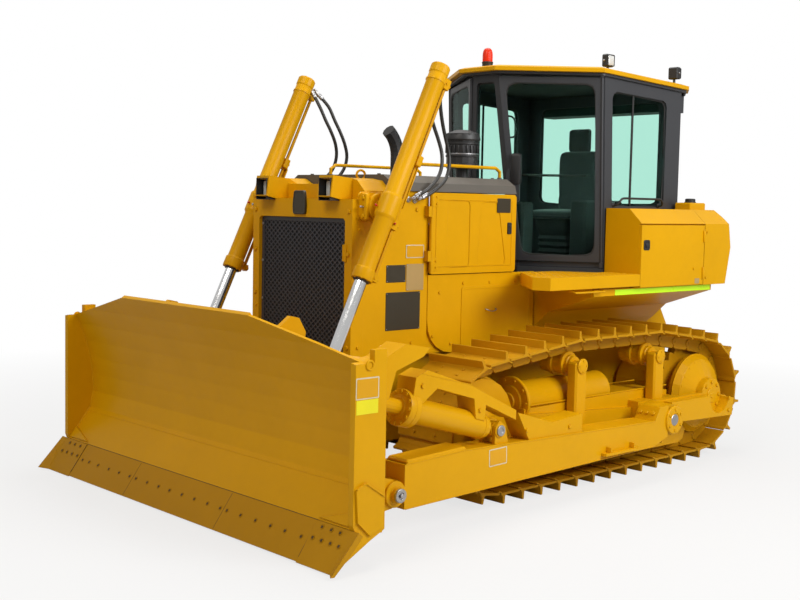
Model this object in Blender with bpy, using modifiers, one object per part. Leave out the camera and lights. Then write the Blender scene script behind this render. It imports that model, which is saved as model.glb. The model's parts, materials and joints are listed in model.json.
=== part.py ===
"""Crawler dozer with a straight blade, a six-sided cab and two leaning lift cylinders.

Metres, +Z up, the machine faces -Y and its left side is +X. Sizes are given from the sprocket
shaft (y = 0) and the ground (z = 0); the root empty then centres the machine over the origin.
"""
import math

import bmesh
import bpy
from mathutils import Matrix, Vector

for old in list(bpy.data.objects):
    bpy.data.objects.remove(old)

# Clearances
GAP = 0.0003
WELD = 0.000002

# Overall
BLADE_TIP_Y = -4.842
HITCH_Y = 0.642
BLADE_HALF = 1.8625

# Crawler track
GAUGE = 2.0
SHOE_WIDE = 0.56
SHOES = 38
PIN_TO_RAIL = 0.062
PIN_TO_SHOE = 0.052
SHOE_THICK = 0.019
GROUSER = 0.066
LINK_THICK = 0.05
LINK_SPREAD = 0.15
SPROCKET_R = 0.43
SPROCKET_TEETH = 25
IDLER_R = 0.43
IDLER_Y = -2.76
CARRIER_R = 0.085
CARRIER_Z = 0.963
CARRIER_YS = (-1.765, -0.706)
ROLLER_R = 0.098
ROLLERS = 6
TRACK_START = 0.112
DRIVE_SIDES = 20
RAIL_FIT = 0.0005

# Hull
BELLY_TOP = 1.05
CROSS_HALF = 0.465

# Blade
END_OUT = BLADE_HALF - 0.0525
BIT_WIDE = 0.4025
EDGE_THICK = 0.03
BIT_THICK = 0.031
FACE_DEEP = (-4.395, 0.62)
FACE_TOP = (-4.69, 1.472)
SEAM = (-4.612, 0.244)
TIP = (-4.78, 0.012)

# Push arms and their trunnions
TRUNNION_Y = -0.90
TRUNNION_Z = 0.475
ARM_INNER = 1.345
ARM_OUTER = 1.55
ARM_PIN_R = 0.055
ARM_PIN_FIT = 0.0007
TILT_HEAD = (1.45, -4.33, 0.99)
TILT_FOOT = (1.45, -3.02, 0.63)

# Lift cylinders
LIFT_X = 0.79
YOKE_Y = -3.454
YOKE_Z = 2.187
EYE_Y = -4.19
EYE_Z = 0.65
BARREL_BELOW = 0.57
BARREL_ABOVE = 1.162
BARREL_R = 0.068
BARREL_BAND = 0.014
PIPE_OUT = 0.105
PIPE_R = 0.013
ROD_R = 0.045
ROD_FIT = 0.0007

# Hood
HOOD_HALF = 0.62
HOOD_FRONT = -3.63
HOOD_SPLIT = -2.86
HOOD_REAR = -1.88
HOOD_LOW = 1.679
HOOD_HIGH = 2.31
SHEET = 0.02
WALL_OUT = HOOD_HALF - SHEET
BONNET_FRONT = HOOD_SPLIT - 0.40
BONNET_TOP = 2.43
DOOR_KNUCKLE = 0.014
KNUCKLE_OUT = HOOD_HALF + 0.012
PRESSED = 0.005
GRILLE_HALF = WALL_OUT - 0.08
GRILLE_LOW = 1.10
GRILLE_HIGH = 2.10
GRILLE_HOLES = 8

# Cab
FLOOR_Z = 1.70
FLOOR_THICK = 0.06
CAB_WALL = 0.05
CAB_SIDE = 0.90
CAB_REAR = 0.0
NOSE_LOW = (0.2665, -1.476)
NOSE_HIGH = (0.1415, -1.63)
POST_LOW = -1.0554
POST_HIGH = -1.1224
ROOF_FRONT_Z = 3.352
ROOF_REAR_Z = 3.288
ROOF_THICK = 0.05
ROOF_HALF = 0.95
HATCH_HIGH = 0.014
LAMP_HIGH = 0.11
STALK_R = 0.012
GLASS = 0.008
POST_WIDE = 0.07
NOSE_POST = 0.034
DOOR_THICK = 0.022
DOOR_OFF = 0.004
HINGE_OUT = 0.006
KNUCKLE_R = 0.0105

# Platforms and side boxes
DECK_OUT = 1.28
DECK_TOP = 1.672
DECK_LOW = 1.573
DECK_BEVEL = 0.13
HATCH_THICK = 0.025
BOX_FRONT = -1.065
BOX_REAR = -0.125
BOX_TOP = 2.213
BOX_LOW = 1.555
BOX_IN = 0.912

PARTS = bpy.data.collections.new("bulldozer")
CUTTERS = bpy.data.collections.new("cutters")
bpy.context.scene.collection.children.link(PARTS)
bpy.context.scene.collection.children.link(CUTTERS)


def material(name, colour, roughness, metallic=0.0, alpha=1.0):
    """A plain Principled material."""
    made = bpy.data.materials.new(name)
    made.use_nodes = True
    shader = made.node_tree.nodes["Principled BSDF"]
    shader.inputs["Base Color"].default_value = (*colour, 1.0)
    shader.inputs["Roughness"].default_value = roughness
    shader.inputs["Metallic"].default_value = metallic
    shader.inputs["Alpha"].default_value = alpha
    return made


COLOURS = {
    "yellow": material("machine_yellow", (0.78, 0.42, 0.02), 0.4),
    "worn": material("track_yellow", (0.6, 0.32, 0.03), 0.6),
    "charcoal": material("cab_charcoal", (0.03, 0.035, 0.04), 0.45),
    "black": material("matte_black", (0.02, 0.02, 0.02), 0.7),
    "chrome": material("rod_chrome", (0.8, 0.8, 0.82), 0.12, 1.0),
    "glass": material("window_glass", (0.6, 0.8, 0.75), 0.05, 0.0, 0.35),
    "fabric": material("seat_fabric", (0.04, 0.04, 0.045), 0.9),
    "beacon": material("beacon_orange", (0.8, 0.1, 0.02), 0.3),
}

MIDDLE_Y = (BLADE_TIP_Y + HITCH_Y) / 2


def empty(name, place, parent=None):
    """An empty on a joint's axis, given in machine coordinates."""
    made = bpy.data.objects.new(name, None)
    PARTS.objects.link(made)
    made.empty_display_size = 0.2
    made.location = place
    made.parent = parent
    return made


ROOT = empty("machine_centre", (0, -MIDDLE_Y, 0))
PIVOTS = {"chassis": ((0, 0, 0), ROOT)}


def pivot(body, place):
    """The parent empty of a moving body, on its joint's axis."""
    PIVOTS[body] = (place, empty(body + "_pivot", place, ROOT))


# Building blocks

def loose(mesh, name="piece"):
    """An object of the parts collection around a mesh."""
    made = bpy.data.objects.new(name, mesh)
    PARTS.objects.link(made)
    return made


def tidy(obj):
    """Welds a mesh and turns its faces outwards."""
    work = bmesh.new()
    work.from_mesh(obj.data)
    bmesh.ops.remove_doubles(work, verts=work.verts, dist=WELD)
    bmesh.ops.dissolve_degenerate(work, edges=work.edges, dist=WELD)
    bmesh.ops.recalc_face_normals(work, faces=work.faces)
    work.to_mesh(obj.data)
    work.free()
    return obj


def bake(obj):
    """Turns an object with modifiers, or a curve, into a plain mesh object."""
    bpy.context.view_layer.update()
    seen = obj.evaluated_get(bpy.context.evaluated_depsgraph_get())
    mesh = bpy.data.meshes.new_from_object(seen)
    mesh.transform(obj.matrix_world)
    made = loose(mesh, obj.name)
    bpy.data.objects.remove(obj)
    return tidy(made)


def block(x_ends, y_ends, z_ends, bevel=0.0):
    """A box between two corners, its edges rounded where bevel is given."""
    work = bmesh.new()
    size = [abs(ends[1] - ends[0]) for ends in (x_ends, y_ends, z_ends)]
    middle = [(ends[0] + ends[1]) / 2 for ends in (x_ends, y_ends, z_ends)]
    bmesh.ops.create_cube(work, size=1.0, matrix=Matrix.Translation(middle) @ Matrix.Diagonal((*size, 1)))
    mesh = bpy.data.meshes.new("block")
    work.to_mesh(mesh)
    work.free()
    made = loose(mesh)
    if bevel:
        rounding = made.modifiers.new("rounding", "BEVEL")
        rounding.width = bevel
        rounding.segments = 1
        made = bake(made)
    return made


def frame(origin, u_axis, v_axis):
    """A matrix whose X and Y run along the two axes, which are at right angles."""
    u_unit = Vector(u_axis).normalized()
    v_unit = Vector(v_axis).normalized()
    n_unit = u_unit.cross(v_unit)
    made = Matrix((u_unit, v_unit, n_unit)).transposed().to_4x4()
    made.translation = Vector(origin)
    return made


def plate(loops, place, thick):
    """A flat outline with holes, thick along the frame's third axis."""
    curve = bpy.data.curves.new("outline", "CURVE")
    curve.dimensions = "2D"
    curve.fill_mode = "BOTH"
    curve.extrude = thick / 2
    for loop in loops:
        spline = curve.splines.new("POLY")
        spline.points.add(len(loop) - 1)
        for point, (u, v) in zip(spline.points, loop):
            point.co = (u, v, 0, 1)
        spline.use_cyclic_u = True
    made = bpy.data.objects.new("plate", curve)
    PARTS.objects.link(made)
    made.matrix_world = place @ Matrix.Translation((0, 0, thick / 2))
    made = bake(made)
    work = bmesh.new()
    work.from_mesh(made.data)
    across = place.to_3x3() @ Vector((0, 0, 1))
    caps = [face for face in work.faces if len(face.verts) == 3 or abs(face.normal.dot(across)) > 0.99]
    inner = [edge for edge in work.edges if all(face in caps for face in edge.link_faces)]
    bmesh.ops.beautify_fill(work, faces=caps, edges=inner, method="ANGLE")
    work.to_mesh(made.data)
    work.free()
    return made


def side_plate(loops, x_ends):
    """A plate whose outline is given as (y, z), between two x."""
    low, high = sorted(x_ends)
    return plate(loops, frame((low, 0, 0), (0, 1, 0), (0, 0, 1)), high - low)


def front_plate(loops, y_ends):
    """A plate whose outline is given as (x, z), between two y."""
    low, high = sorted(y_ends)
    return plate(loops, frame((0, high, 0), (1, 0, 0), (0, 0, 1)), high - low)


def flat_plate(loops, z_ends):
    """A plate whose outline is given as (x, y), between two z."""
    low, high = sorted(z_ends)
    return plate(loops, frame((0, 0, low), (1, 0, 0), (0, 1, 0)), high - low)


def turned(profile, start, end, steps=16):
    """A profile of (radius, distance along) turned round the line from start to end."""
    along = (Vector(end) - Vector(start)).normalized()
    mesh = bpy.data.meshes.new("profile")
    points = [(radius, 0, far) for radius, far in reversed(profile)]
    mesh.from_pydata(points, [(i, i + 1) for i in range(len(points) - 1)], [])
    made = loose(mesh)
    screw = made.modifiers.new("turning", "SCREW")
    screw.axis = "Z"
    screw.steps = steps
    screw.render_steps = steps
    screw.use_merge_vertices = True
    screw.merge_threshold = 0.0001
    made = bake(made)
    made.data.transform(Vector((0, 0, 1)).rotation_difference(along).to_matrix().to_4x4())
    made.data.transform(Matrix.Translation(start))
    return made


def rod(start, end, radius, steps=16):
    """A plain cylinder between two points."""
    length = (Vector(end) - Vector(start)).length
    return turned([(0, 0), (radius, 0), (radius, length), (0, length)], start, end, steps)


def pipe(points, radius, rings=2):
    """A bent tube through the points."""
    curve = bpy.data.curves.new("pipe", "CURVE")
    curve.dimensions = "3D"
    curve.bevel_depth = radius
    curve.bevel_resolution = rings
    curve.use_fill_caps = True
    spline = curve.splines.new("POLY")
    spline.points.add(len(points) - 1)
    for point, place in zip(spline.points, points):
        point.co = (*place, 1)
    made = bpy.data.objects.new("pipe", curve)
    PARTS.objects.link(made)
    return bake(made)


def boolean(obj, others, operation):
    """Joins or cuts an object with others, and keeps a plain mesh."""
    for number, other in enumerate(others):
        if operation == "DIFFERENCE":
            PARTS.objects.unlink(other)
            CUTTERS.objects.link(other)
            other.hide_render = True
            other.display_type = "WIRE"
        step = obj.modifiers.new("step%d" % number, "BOOLEAN")
        step.operation = operation
        step.solver = "EXACT"
        step.object = other
    made = bake(obj)
    if operation == "UNION":
        for other in others:
            bpy.data.objects.remove(other)
    return made


def fuse(*pieces):
    return boolean(pieces[0], pieces[1:], "UNION") if len(pieces) > 1 else pieces[0]


def cut(obj, *cutters):
    return boolean(obj, cutters, "DIFFERENCE")


def node(name, obj, colour, body="chassis", smooth=True):
    """Names a finished piece, gives it its material and hangs it on its body's empty."""
    obj.name = name
    obj.data.name = name
    obj.data.materials.clear()
    obj.data.materials.append(COLOURS[colour])
    if smooth:
        obj.data.shade_smooth()
        obj.data.set_sharp_from_angle(angle=math.radians(30))
    place, parent = PIVOTS[body]
    obj.data.transform(Matrix.Translation(-Vector(place)))
    obj.parent = parent
    return obj


def rounded(loop, radii, steps=3):
    """An outline with its corners rounded; radii is one number or one for each corner."""
    made = []
    count = len(loop)
    for i, corner in enumerate(loop):
        radius = radii if isinstance(radii, (int, float)) else radii[i]
        here = Vector(corner)
        back = (Vector(loop[i - 1]) - here).normalized()
        ahead = (Vector(loop[(i + 1) % count]) - here).normalized()
        if radius <= 0:
            made.append(corner)
            continue
        half = back.angle(ahead) / 2
        reach = radius / math.tan(half)
        centre = here + (back + ahead).normalized() * radius / math.sin(half)
        first = here + back * reach - centre
        last = here + ahead * reach - centre
        sweep = first.angle(last)
        turn = 1 if first.x * last.y - first.y * last.x > 0 else -1
        for k in range(steps + 1):
            angle = turn * sweep * k / steps
            cosine, sine = math.cos(angle), math.sin(angle)
            made.append((centre.x + first.x * cosine - first.y * sine,
                         centre.y + first.x * sine + first.y * cosine))
    return made


def loft(sections):
    """A skin over outlines of (y, z) with as many points each, given as (x, outline)."""
    work = bmesh.new()
    rings = [[work.verts.new((x, y, z)) for y, z in outline] for x, outline in sections]
    count = len(rings[0])
    for ring, other in zip(rings, rings[1:]):
        for i in range(count):
            j = (i + 1) % count
            work.faces.new((ring[i], ring[j], other[j], other[i]))
    work.faces.new(rings[0])
    work.faces.new(rings[-1])
    bmesh.ops.triangulate(work, faces=work.faces, ngon_method="EAR_CLIP")
    mesh = bpy.data.meshes.new("loft")
    work.to_mesh(mesh)
    work.free()
    return tidy(loose(mesh))


def circle(centre, radius, steps=16):
    return [(centre[0] + radius * math.cos(2 * math.pi * k / steps),
             centre[1] + radius * math.sin(2 * math.pi * k / steps)) for k in range(steps)]


def band(line, thick):
    """The outline of a bent strip: a line of points and the same line moved over by thick."""
    other = []
    for i, point in enumerate(line):
        here = Vector(point)
        before = (here - Vector(line[i - 1])).normalized() if i else None
        after = (Vector(line[i + 1]) - here).normalized() if i < len(line) - 1 else None
        before = before or after
        after = after or before
        normal = Vector((-(before.y + after.y), before.x + after.x)).normalized()
        stretch = max(0.5, normal.dot(Vector((-before.y, before.x))))
        other.append(tuple(here + normal * thick / stretch))
    return list(line) + other[::-1]


# Crawler track: pins along the outer path round idler, carrier rollers and sprocket

SPROCKET_Z = PIN_TO_SHOE + SHOE_THICK + GROUSER + SPROCKET_R
IDLER_Z = PIN_TO_SHOE + SHOE_THICK + GROUSER + IDLER_R
PIN_LOW_Z = PIN_TO_SHOE + SHOE_THICK + GROUSER


def track_pins():
    """The pin centres as (y, z), evenly spaced, from the sprocket's bottom forwards."""
    wheels = [((0.0, SPROCKET_Z), SPROCKET_R), ((IDLER_Y, IDLER_Z), IDLER_R)]
    wheels += [((y, CARRIER_Z), CARRIER_R + PIN_TO_RAIL) for y in CARRIER_YS]
    normals = []
    for i, (here, radius) in enumerate(wheels):
        there, other = wheels[(i + 1) % len(wheels)]
        step = Vector(there) - Vector(here)
        along = step.normalized()
        left = Vector((-along.y, along.x))
        sine = (radius - other) / step.length
        normals.append(left * math.sqrt(1 - sine * sine) + along * sine)
    path = []
    for i, (centre, radius) in enumerate(wheels):
        first = math.atan2(normals[i - 1].y, normals[i - 1].x)
        last = math.atan2(normals[i].y, normals[i].x)
        sweep = (first - last) % (2 * math.pi)
        steps = max(2, int(math.degrees(sweep) / 2))
        for k in range(steps + 1):
            angle = first - sweep * k / steps
            path.append(Vector((centre[0] + radius * math.cos(angle), centre[1] + radius * math.sin(angle))))
    last_arc = max(2, int(math.degrees((math.atan2(normals[-1].y, normals[-1].x)
                                        - math.atan2(normals[0].y, normals[0].x)) % (2 * math.pi)) / 2))
    path = path[last_arc:] + path[:last_arc]
    path.append(path[0])
    lengths = [0.0]
    for a, b in zip(path, path[1:]):
        lengths.append(lengths[-1] + (b - a).length)
    pins = []
    total = lengths[-1]
    for k in range(SHOES):
        want = (TRACK_START + total * k / SHOES) % total
        i = max(j for j in range(len(path) - 1) if lengths[j] <= want)
        share = (want - lengths[i]) / (lengths[i + 1] - lengths[i])
        pins.append(path[i].lerp(path[i + 1], share))
    return pins


PINS = track_pins()
PITCH = (PINS[1] - PINS[0]).length


def along_track(shape):
    """Carries (share of the pitch, height above the pins) points round the whole track."""
    made = []
    for i, pin in enumerate(PINS):
        ahead = PINS[(i + 1) % SHOES] - pin
        left = Vector((-ahead.y, ahead.x)).normalized()
        for share, high in shape:
            point = pin + ahead * share + left * high
            made.append((point.x, point.y))
    return made


SHOE_OUT = PIN_TO_SHOE + SHOE_THICK
SHOE_SHAPE = [(0.03, SHOE_OUT - 0.007), (0.78, SHOE_OUT), (0.81, SHOE_OUT + GROUSER),
              (0.89, SHOE_OUT + GROUSER), (0.93, SHOE_OUT - 0.004)]


def bends_only(loop):
    """The outline without the points that lie on a straight run."""
    kept = []
    for i, point in enumerate(loop):
        before = Vector(point) - Vector(loop[i - 1])
        after = Vector(loop[(i + 1) % len(loop)]) - Vector(point)
        if before.angle(after) > 0.002:
            kept.append(point)
    return kept


def make_track(side, name):
    """Shoes with their bars, and two rows of links below them, as one loop."""
    middle = side * GAUGE / 2
    shoes = side_plate([along_track(SHOE_SHAPE), bends_only(along_track([(0.0, PIN_TO_SHOE)]))],
                       (middle - SHOE_WIDE / 2, middle + SHOE_WIDE / 2))
    rows = []
    for row in (-1, 1):
        at = middle + row * LINK_SPREAD / 2
        outer = along_track([(0.0, 0.02), (0.5, PIN_TO_SHOE + 0.008)])
        inner = bends_only(along_track([(0.0, -PIN_TO_RAIL)]))
        rows.append(side_plate([outer, inner], (at - LINK_THICK / 2, at + LINK_THICK / 2)))
    node(name, fuse(shoes, *rows), "worn", smooth=False)


def make_sprocket(side, name):
    middle = side * GAUGE / 2
    outline = []
    for k in range(SPROCKET_TEETH):
        for share, radius in ((0.0, 0.386), (0.38, 0.432), (0.62, 0.432)):
            angle = 2 * math.pi * (k + share) / SPROCKET_TEETH
            outline.append((radius * math.cos(angle), SPROCKET_Z + radius * math.sin(angle)))
    half = LINK_SPREAD / 2 - LINK_THICK / 2 - 0.012
    disc = side_plate([outline, circle((0, SPROCKET_Z), 0.26 + GAP, DRIVE_SIDES)],
                      (middle - half, middle + half))
    node(name, disc, "worn")


def make_final_drive(side, name):
    """The drive case: an inner drum from the hull, the hub in the sprocket and the outer dome."""
    start = (side * 0.50, 0, SPROCKET_Z)
    end = (side * 1.40, 0, SPROCKET_Z)
    profile = [(0, 0), (0.30, 0), (0.30, 0.36), (0.26, 0.40), (0.26, 0.585), (0.345, 0.612),
               (0.352, 0.65), (0.31, 0.70), (0.15, 0.765), (0.15, 0.83), (0, 0.83)]
    node(name, turned(profile, start, end, DRIVE_SIDES), "yellow")


def make_idler(side, name):
    middle = side * GAUGE / 2
    half = math.asin(PITCH / 2 / IDLER_R)
    rail_corner = math.sqrt(IDLER_R ** 2 + PIN_TO_RAIL ** 2 - 2 * IDLER_R * PIN_TO_RAIL * math.cos(half))
    rail = rail_corner * math.cos(half) - RAIL_FIT
    flange = LINK_SPREAD / 2 - LINK_THICK / 2 - 0.008
    wide = LINK_SPREAD / 2 + LINK_THICK / 2
    start = (middle - 0.20 * side, IDLER_Y, IDLER_Z)
    end = (middle + 0.20 * side, IDLER_Y, IDLER_Z)
    profile = [(0, 0), (0.06, 0), (0.06, 0.06), (0.14, 0.2 - wide), (rail, 0.2 - wide),
               (rail, 0.2 - flange), (rail + 0.02, 0.2 - flange), (rail + 0.02, 0.2 + flange),
               (rail, 0.2 + flange), (rail, 0.2 + wide), (0.14, 0.2 + wide), (0.06, 0.34),
               (0.06, 0.40), (0, 0.40)]
    node(name, turned(profile, start, end, 20), "yellow")


def make_track_frame(side, name):
    """Roller frame: box beam with idler forks, recoil cover, rollers, guards and outer beam."""
    middle = side * GAUGE / 2
    rail_z = PIN_LOW_Z + PIN_TO_RAIL
    pieces = [side_plate([rounded([(-2.35, 0.44), (-0.46, 0.44), (-0.46, 0.64), (-0.9, 0.68),
                                   (-2.35, 0.66)], 0)],
                         (middle - 0.17, middle + 0.17))]
    for row in (-1, 1):
        at = middle + row * 0.185
        pieces.append(side_plate([[(-2.93, 0.47), (-2.30, 0.43), (-0.30, 0.43), (-0.30, 0.50),
                                   (-2.30, 0.62), (-2.93, 0.66)]], (at - 0.02, at + 0.02)))
        guard = rounded([(-2.50, 0.155), (-0.20, 0.155), (-0.20, 0.46), (-2.50, 0.46)], (0.1, 0.1, 0, 0), 2)
        pieces.append(side_plate([guard], (at - 0.016, at + 0.016)))
    pieces.append(block((middle - 0.2, middle + 0.2), (-2.355, -2.30), (0.46, 0.62)))
    for k in range(ROLLERS):
        y = -2.30 + k * (2.30 - 0.46) / (ROLLERS - 1)
        start = (middle - 0.19, y, rail_z + ROLLER_R + RAIL_FIT)
        pieces.append(rod(start, (middle + 0.19, *start[1:]), ROLLER_R, 10))
    for y in CARRIER_YS:
        out = middle + side * 0.23
        pieces.append(block((out - 0.05, out + 0.05), (y - 0.10, y + 0.04), (0.47, CARRIER_Z + 0.03), 0.015))
        rim = CARRIER_R - 0.002
        profile = [(0, 0.06), (rim, 0.06), (rim, 0.29), (0.035, 0.30), (0.035, 0.44), (0, 0.44)]
        pieces.append(turned(profile, (middle - side * 0.18, y, CARRIER_Z),
                             (middle + side * 0.27, y, CARRIER_Z), 12))
    pieces.append(rod((middle, -2.33, 0.70), (middle, -1.25, 0.70), 0.15, 12))
    pieces.append(block((middle - side * 0.15, middle + side * 0.275), (-1.02, -0.47), (0.445, 0.60)))
    beam = [(-0.98, 0.40), (0.22, 0.37), (0.24, 0.545), (-0.10, 0.60), (-0.86, 0.60), (-0.98, 0.56)]
    out = (side * 1.288, side * 1.335)
    pieces.append(side_plate([rounded(beam, (0.05, 0.02, 0.02, 0, 0.05, 0.05), 3)], out))
    thick = [(-0.74, 0.41), (0.21, 0.38), (0.23, 0.535), (-0.11, 0.585), (-0.74, 0.585)]
    pieces.append(side_plate([thick], (side * 1.33, side * 1.42)))
    pieces.append(block((side * 1.25, side * 1.30), (-0.97, -0.45), (0.45, 0.57)))
    pieces.append(rod((side * 1.31, TRUNNION_Y, TRUNNION_Z), (side * 1.53, TRUNNION_Y, TRUNNION_Z),
                      ARM_PIN_R, 24))
    whole = fuse(*pieces)
    hub = rod((side * 1.22, 0, SPROCKET_Z), (side * 1.5, 0, SPROCKET_Z), 0.15 + GAP, DRIVE_SIDES)
    drum = rod((side * 0.5, 0, SPROCKET_Z), (side * 1.27, 0, SPROCKET_Z), 0.36, DRIVE_SIDES)
    idler = rod((side * 0.7, IDLER_Y, IDLER_Z), (side * 1.3, IDLER_Y, IDLER_Z), 0.06 + GAP, 20)
    sprocket = rod((middle - 0.06, 0, SPROCKET_Z), (middle + 0.06, 0, SPROCKET_Z), 0.45, DRIVE_SIDES)
    wheel = rod((middle - 0.13, IDLER_Y, IDLER_Z), (middle + 0.13, IDLER_Y, IDLER_Z), 0.40, 20)
    node(name, cut(whole, hub, drum, idler, sprocket, wheel), "yellow")


# Hull: belly, cross beams, rear case with its drawbar

def make_hull():
    belly = [(-3.40, 0.46), (-3.30, 0.40), (0.25, 0.40), (0.30, 0.55), (0.30, 1.30), (-0.30, 1.30),
             (-0.35, BELLY_TOP), (-3.40, BELLY_TOP)]
    pieces = [side_plate([belly], (-0.46, 0.46))]
    rear = [(0.20, 0.52), (0.52, 0.52), (0.60, 0.70), (0.60, 1.10), (0.50, 1.25), (0.20, 1.25)]
    pieces.append(side_plate([rear], (-0.42, 0.42)))
    hitch = block((-0.14, 0.14), (0.50, HITCH_Y), (0.60, 0.78))
    pieces.append(cut(hitch, block((-0.2, 0.2), (0.60, 0.70), (0.665, 0.715))))
    pieces.append(block((-CROSS_HALF, CROSS_HALF), (-0.20, 0.20), (0.95, 1.5)))
    pieces.append(block((-0.40, 0.40), (-0.60, 0.0), (1.20, FLOOR_Z - FLOOR_THICK - GAP)))
    hull = fuse(*pieces)
    for side in (-1, 1):
        drum = rod((side * 0.47, 0, SPROCKET_Z), (side * 0.7, 0, SPROCKET_Z), 0.32, DRIVE_SIDES)
        hull = cut(hull, drum)
        foot = rod((side * 0.44, 0, SPROCKET_Z), (side * (0.50 - GAP), 0, SPROCKET_Z), 0.26, DRIVE_SIDES)
        hull = fuse(hull, foot)
    node("main_frame", hull, "yellow")
    node("cross_beam", block((-0.799 + GAP, 0.799 - GAP), (-1.95, -1.75), (0.36, 0.40 - GAP)), "yellow")
    node("engine", block((-0.33, 0.33), (-2.95, -1.95), (BELLY_TOP + GAP, 2.05)), "black")


# Hood: radiator guard with lamp hoods, grille, bonnet and side doors

def grille_outline(gap):
    """The grille's opening as (x, z), made smaller by a gap."""
    half, low, high = GRILLE_HALF - gap, GRILLE_LOW + gap, GRILLE_HIGH - gap
    return rounded([(-half, low), (half, low), (half, high), (-half, high)], 0.02, 1)


def diamonds():
    """The grille's holes: squares on their corners, in even rows."""
    step_x = 2 * GRILLE_HALF / (GRILLE_HOLES + 1)
    step_z = (GRILLE_HIGH - GRILLE_LOW) / (GRILLE_HOLES + 1)
    made = []
    for column in range(1, GRILLE_HOLES + 1):
        for row in range(1, GRILLE_HOLES + 1):
            x, z = column * step_x - GRILLE_HALF, GRILLE_LOW + row * step_z
            made.append([(x - step_x * 0.4, z), (x, z - step_z * 0.4), (x + step_x * 0.4, z),
                         (x, z + step_z * 0.4)])
    return made


def make_guard():
    """Radiator guard: front ring, side walls, the cowl behind the lamp hoods, brackets and yokes."""
    wall = WALL_OUT
    outer = [(-wall, BELLY_TOP + GAP), (wall, BELLY_TOP + GAP), (wall, 2.24), (-wall, 2.24)]
    pieces = [front_plate([outer, grille_outline(0)], (HOOD_FRONT, HOOD_FRONT + 0.12))]
    cowl = [(-wall + 0.003, 2.18), (wall - 0.003, 2.18), (wall - 0.003, 2.303), (wall - 0.09, 2.382),
            (0.40, 2.398),
            (0.30, 2.352), (-0.30, 2.352), (-0.40, 2.398), (-wall + 0.09, 2.382), (-wall + 0.003, 2.303)]
    pieces.append(front_plate([cowl], (HOOD_FRONT + 0.115, BONNET_FRONT - GAP)))
    pieces.append(block((-wall + 0.002, wall - 0.002), (BONNET_FRONT - 0.01, HOOD_SPLIT - GAP),
                        (2.19, HOOD_HIGH - GAP)))
    pieces.append(block((-0.58, 0.58), (HOOD_FRONT + 0.06, -2.96), (BELLY_TOP + GAP, 1.09)))
    for side in (-1, 1):
        pieces.append(block((side * (wall - 0.05), side * (wall - 0.001)),
                            (HOOD_FRONT + 0.06, HOOD_SPLIT - GAP),
                            (1.06, 2.235)))
        pieces.append(block((side * (wall - 0.049), side * (wall - 0.016)),
                            (HOOD_SPLIT - 0.02, HOOD_SPLIT + 0.28),
                            (1.065, 1.40)))
        hood = [(-3.72, 2.255), (-3.45, 2.20), (-3.36, 2.20), (-3.40, 2.34), (-3.50, 2.392), (-3.70, 2.41)]
        pieces.append(side_plate([hood], (side * 0.305, side * 0.463)))
    guard = fuse(*pieces)
    for side in (-1, 1):
        recess = [(-3.75, 2.268), (-3.54, 2.226), (-3.54, 2.37), (-3.75, 2.392)]
        guard = cut(guard, side_plate([recess], (side * 0.318, side * 0.45)))
        bracket_y = (HOOD_SPLIT - 0.045, HOOD_SPLIT - DOOR_KNUCKLE - GAP)
        brackets = [block((side * (wall - 0.01), side * (HOOD_HALF + 0.026)), bracket_y, (z, z + 0.08))
                    for z in (1.78, 2.12)]
        yoke = [(YOKE_Y - 0.12, YOKE_Z - 0.10), (YOKE_Y + 0.12, YOKE_Z - 0.10),
                (YOKE_Y + 0.12, YOKE_Z + 0.10), (YOKE_Y - 0.12, YOKE_Z + 0.10)]
        pin_end = LIFT_X - BARREL_R - BARREL_BAND - GAP
        guard = fuse(guard, *brackets, side_plate([rounded(yoke, 0.04, 2)],
                                                  (side * (wall - 0.02), side * (wall + 0.06))),
                     rod((side * (wall + 0.04), YOKE_Y, YOKE_Z), (side * pin_end, YOKE_Y, YOKE_Z), 0.05, 16))
    node("radiator_guard", guard, "yellow")


def make_hood_door(side, tag):
    """A side door of the engine with two pressed fields, and its knuckle along the front edge."""
    pivot("hood_door_" + tag, (side * KNUCKLE_OUT, HOOD_SPLIT, 1.97))
    front, high = HOOD_SPLIT + 0.004, HOOD_HIGH - 0.006
    outline = rounded([(front, HOOD_LOW), (HOOD_REAR, HOOD_LOW), (HOOD_REAR, high), (front, high)], 0.02, 1)
    leaf = side_plate([outline], (side * WALL_OUT, side * HOOD_HALF))
    fields = ([(front + 0.18, 1.725), (front + 0.43, 1.725), (front + 0.43, 2.25), (front + 0.18, 2.25)],
              [(front + 0.52, 1.735), (front + 0.86, 1.735), (front + 0.76, 2.24), (front + 0.56, 2.24)])
    for field in fields:
        leaf = cut(leaf, side_plate([rounded(field, 0.04, 2)],
                                    (side * (HOOD_HALF - PRESSED), side * (HOOD_HALF + 0.05))))
    pin = rod((side * KNUCKLE_OUT, HOOD_SPLIT, HOOD_LOW + 0.01), (side * KNUCKLE_OUT, HOOD_SPLIT, high - 0.01),
              DOOR_KNUCKLE, 10)
    node("hood_door_" + tag, fuse(leaf, pin), "yellow", "hood_door_" + tag)


def make_hood():
    make_guard()
    node("grille", front_plate([grille_outline(GAP), *diamonds()], (HOOD_FRONT + 0.02, HOOD_FRONT + 0.05)),
         "black")
    edge = HOOD_HALF
    section = [(-edge, HOOD_HIGH), (edge, HOOD_HIGH), (edge - 0.02, 2.375), (edge - 0.11, BONNET_TOP),
               (-edge + 0.11, BONNET_TOP), (-edge + 0.02, 2.375)]
    node("bonnet", front_plate([section], (BONNET_FRONT, HOOD_REAR)), "charcoal")
    for side, tag in ((1, "left"), (-1, "right")):
        make_hood_door(side, tag)
        low = rounded([(HOOD_SPLIT, 1.06), (-1.62, 1.06), (-1.62, HOOD_LOW - 0.006),
                       (HOOD_SPLIT, HOOD_LOW - 0.006)],
                      (0.26, 0, 0, 0), 5)
        node("side_panel_" + tag, side_plate([low], (side * (WALL_OUT - 0.015), side * (WALL_OUT + 0.005))),
             "yellow")


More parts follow.
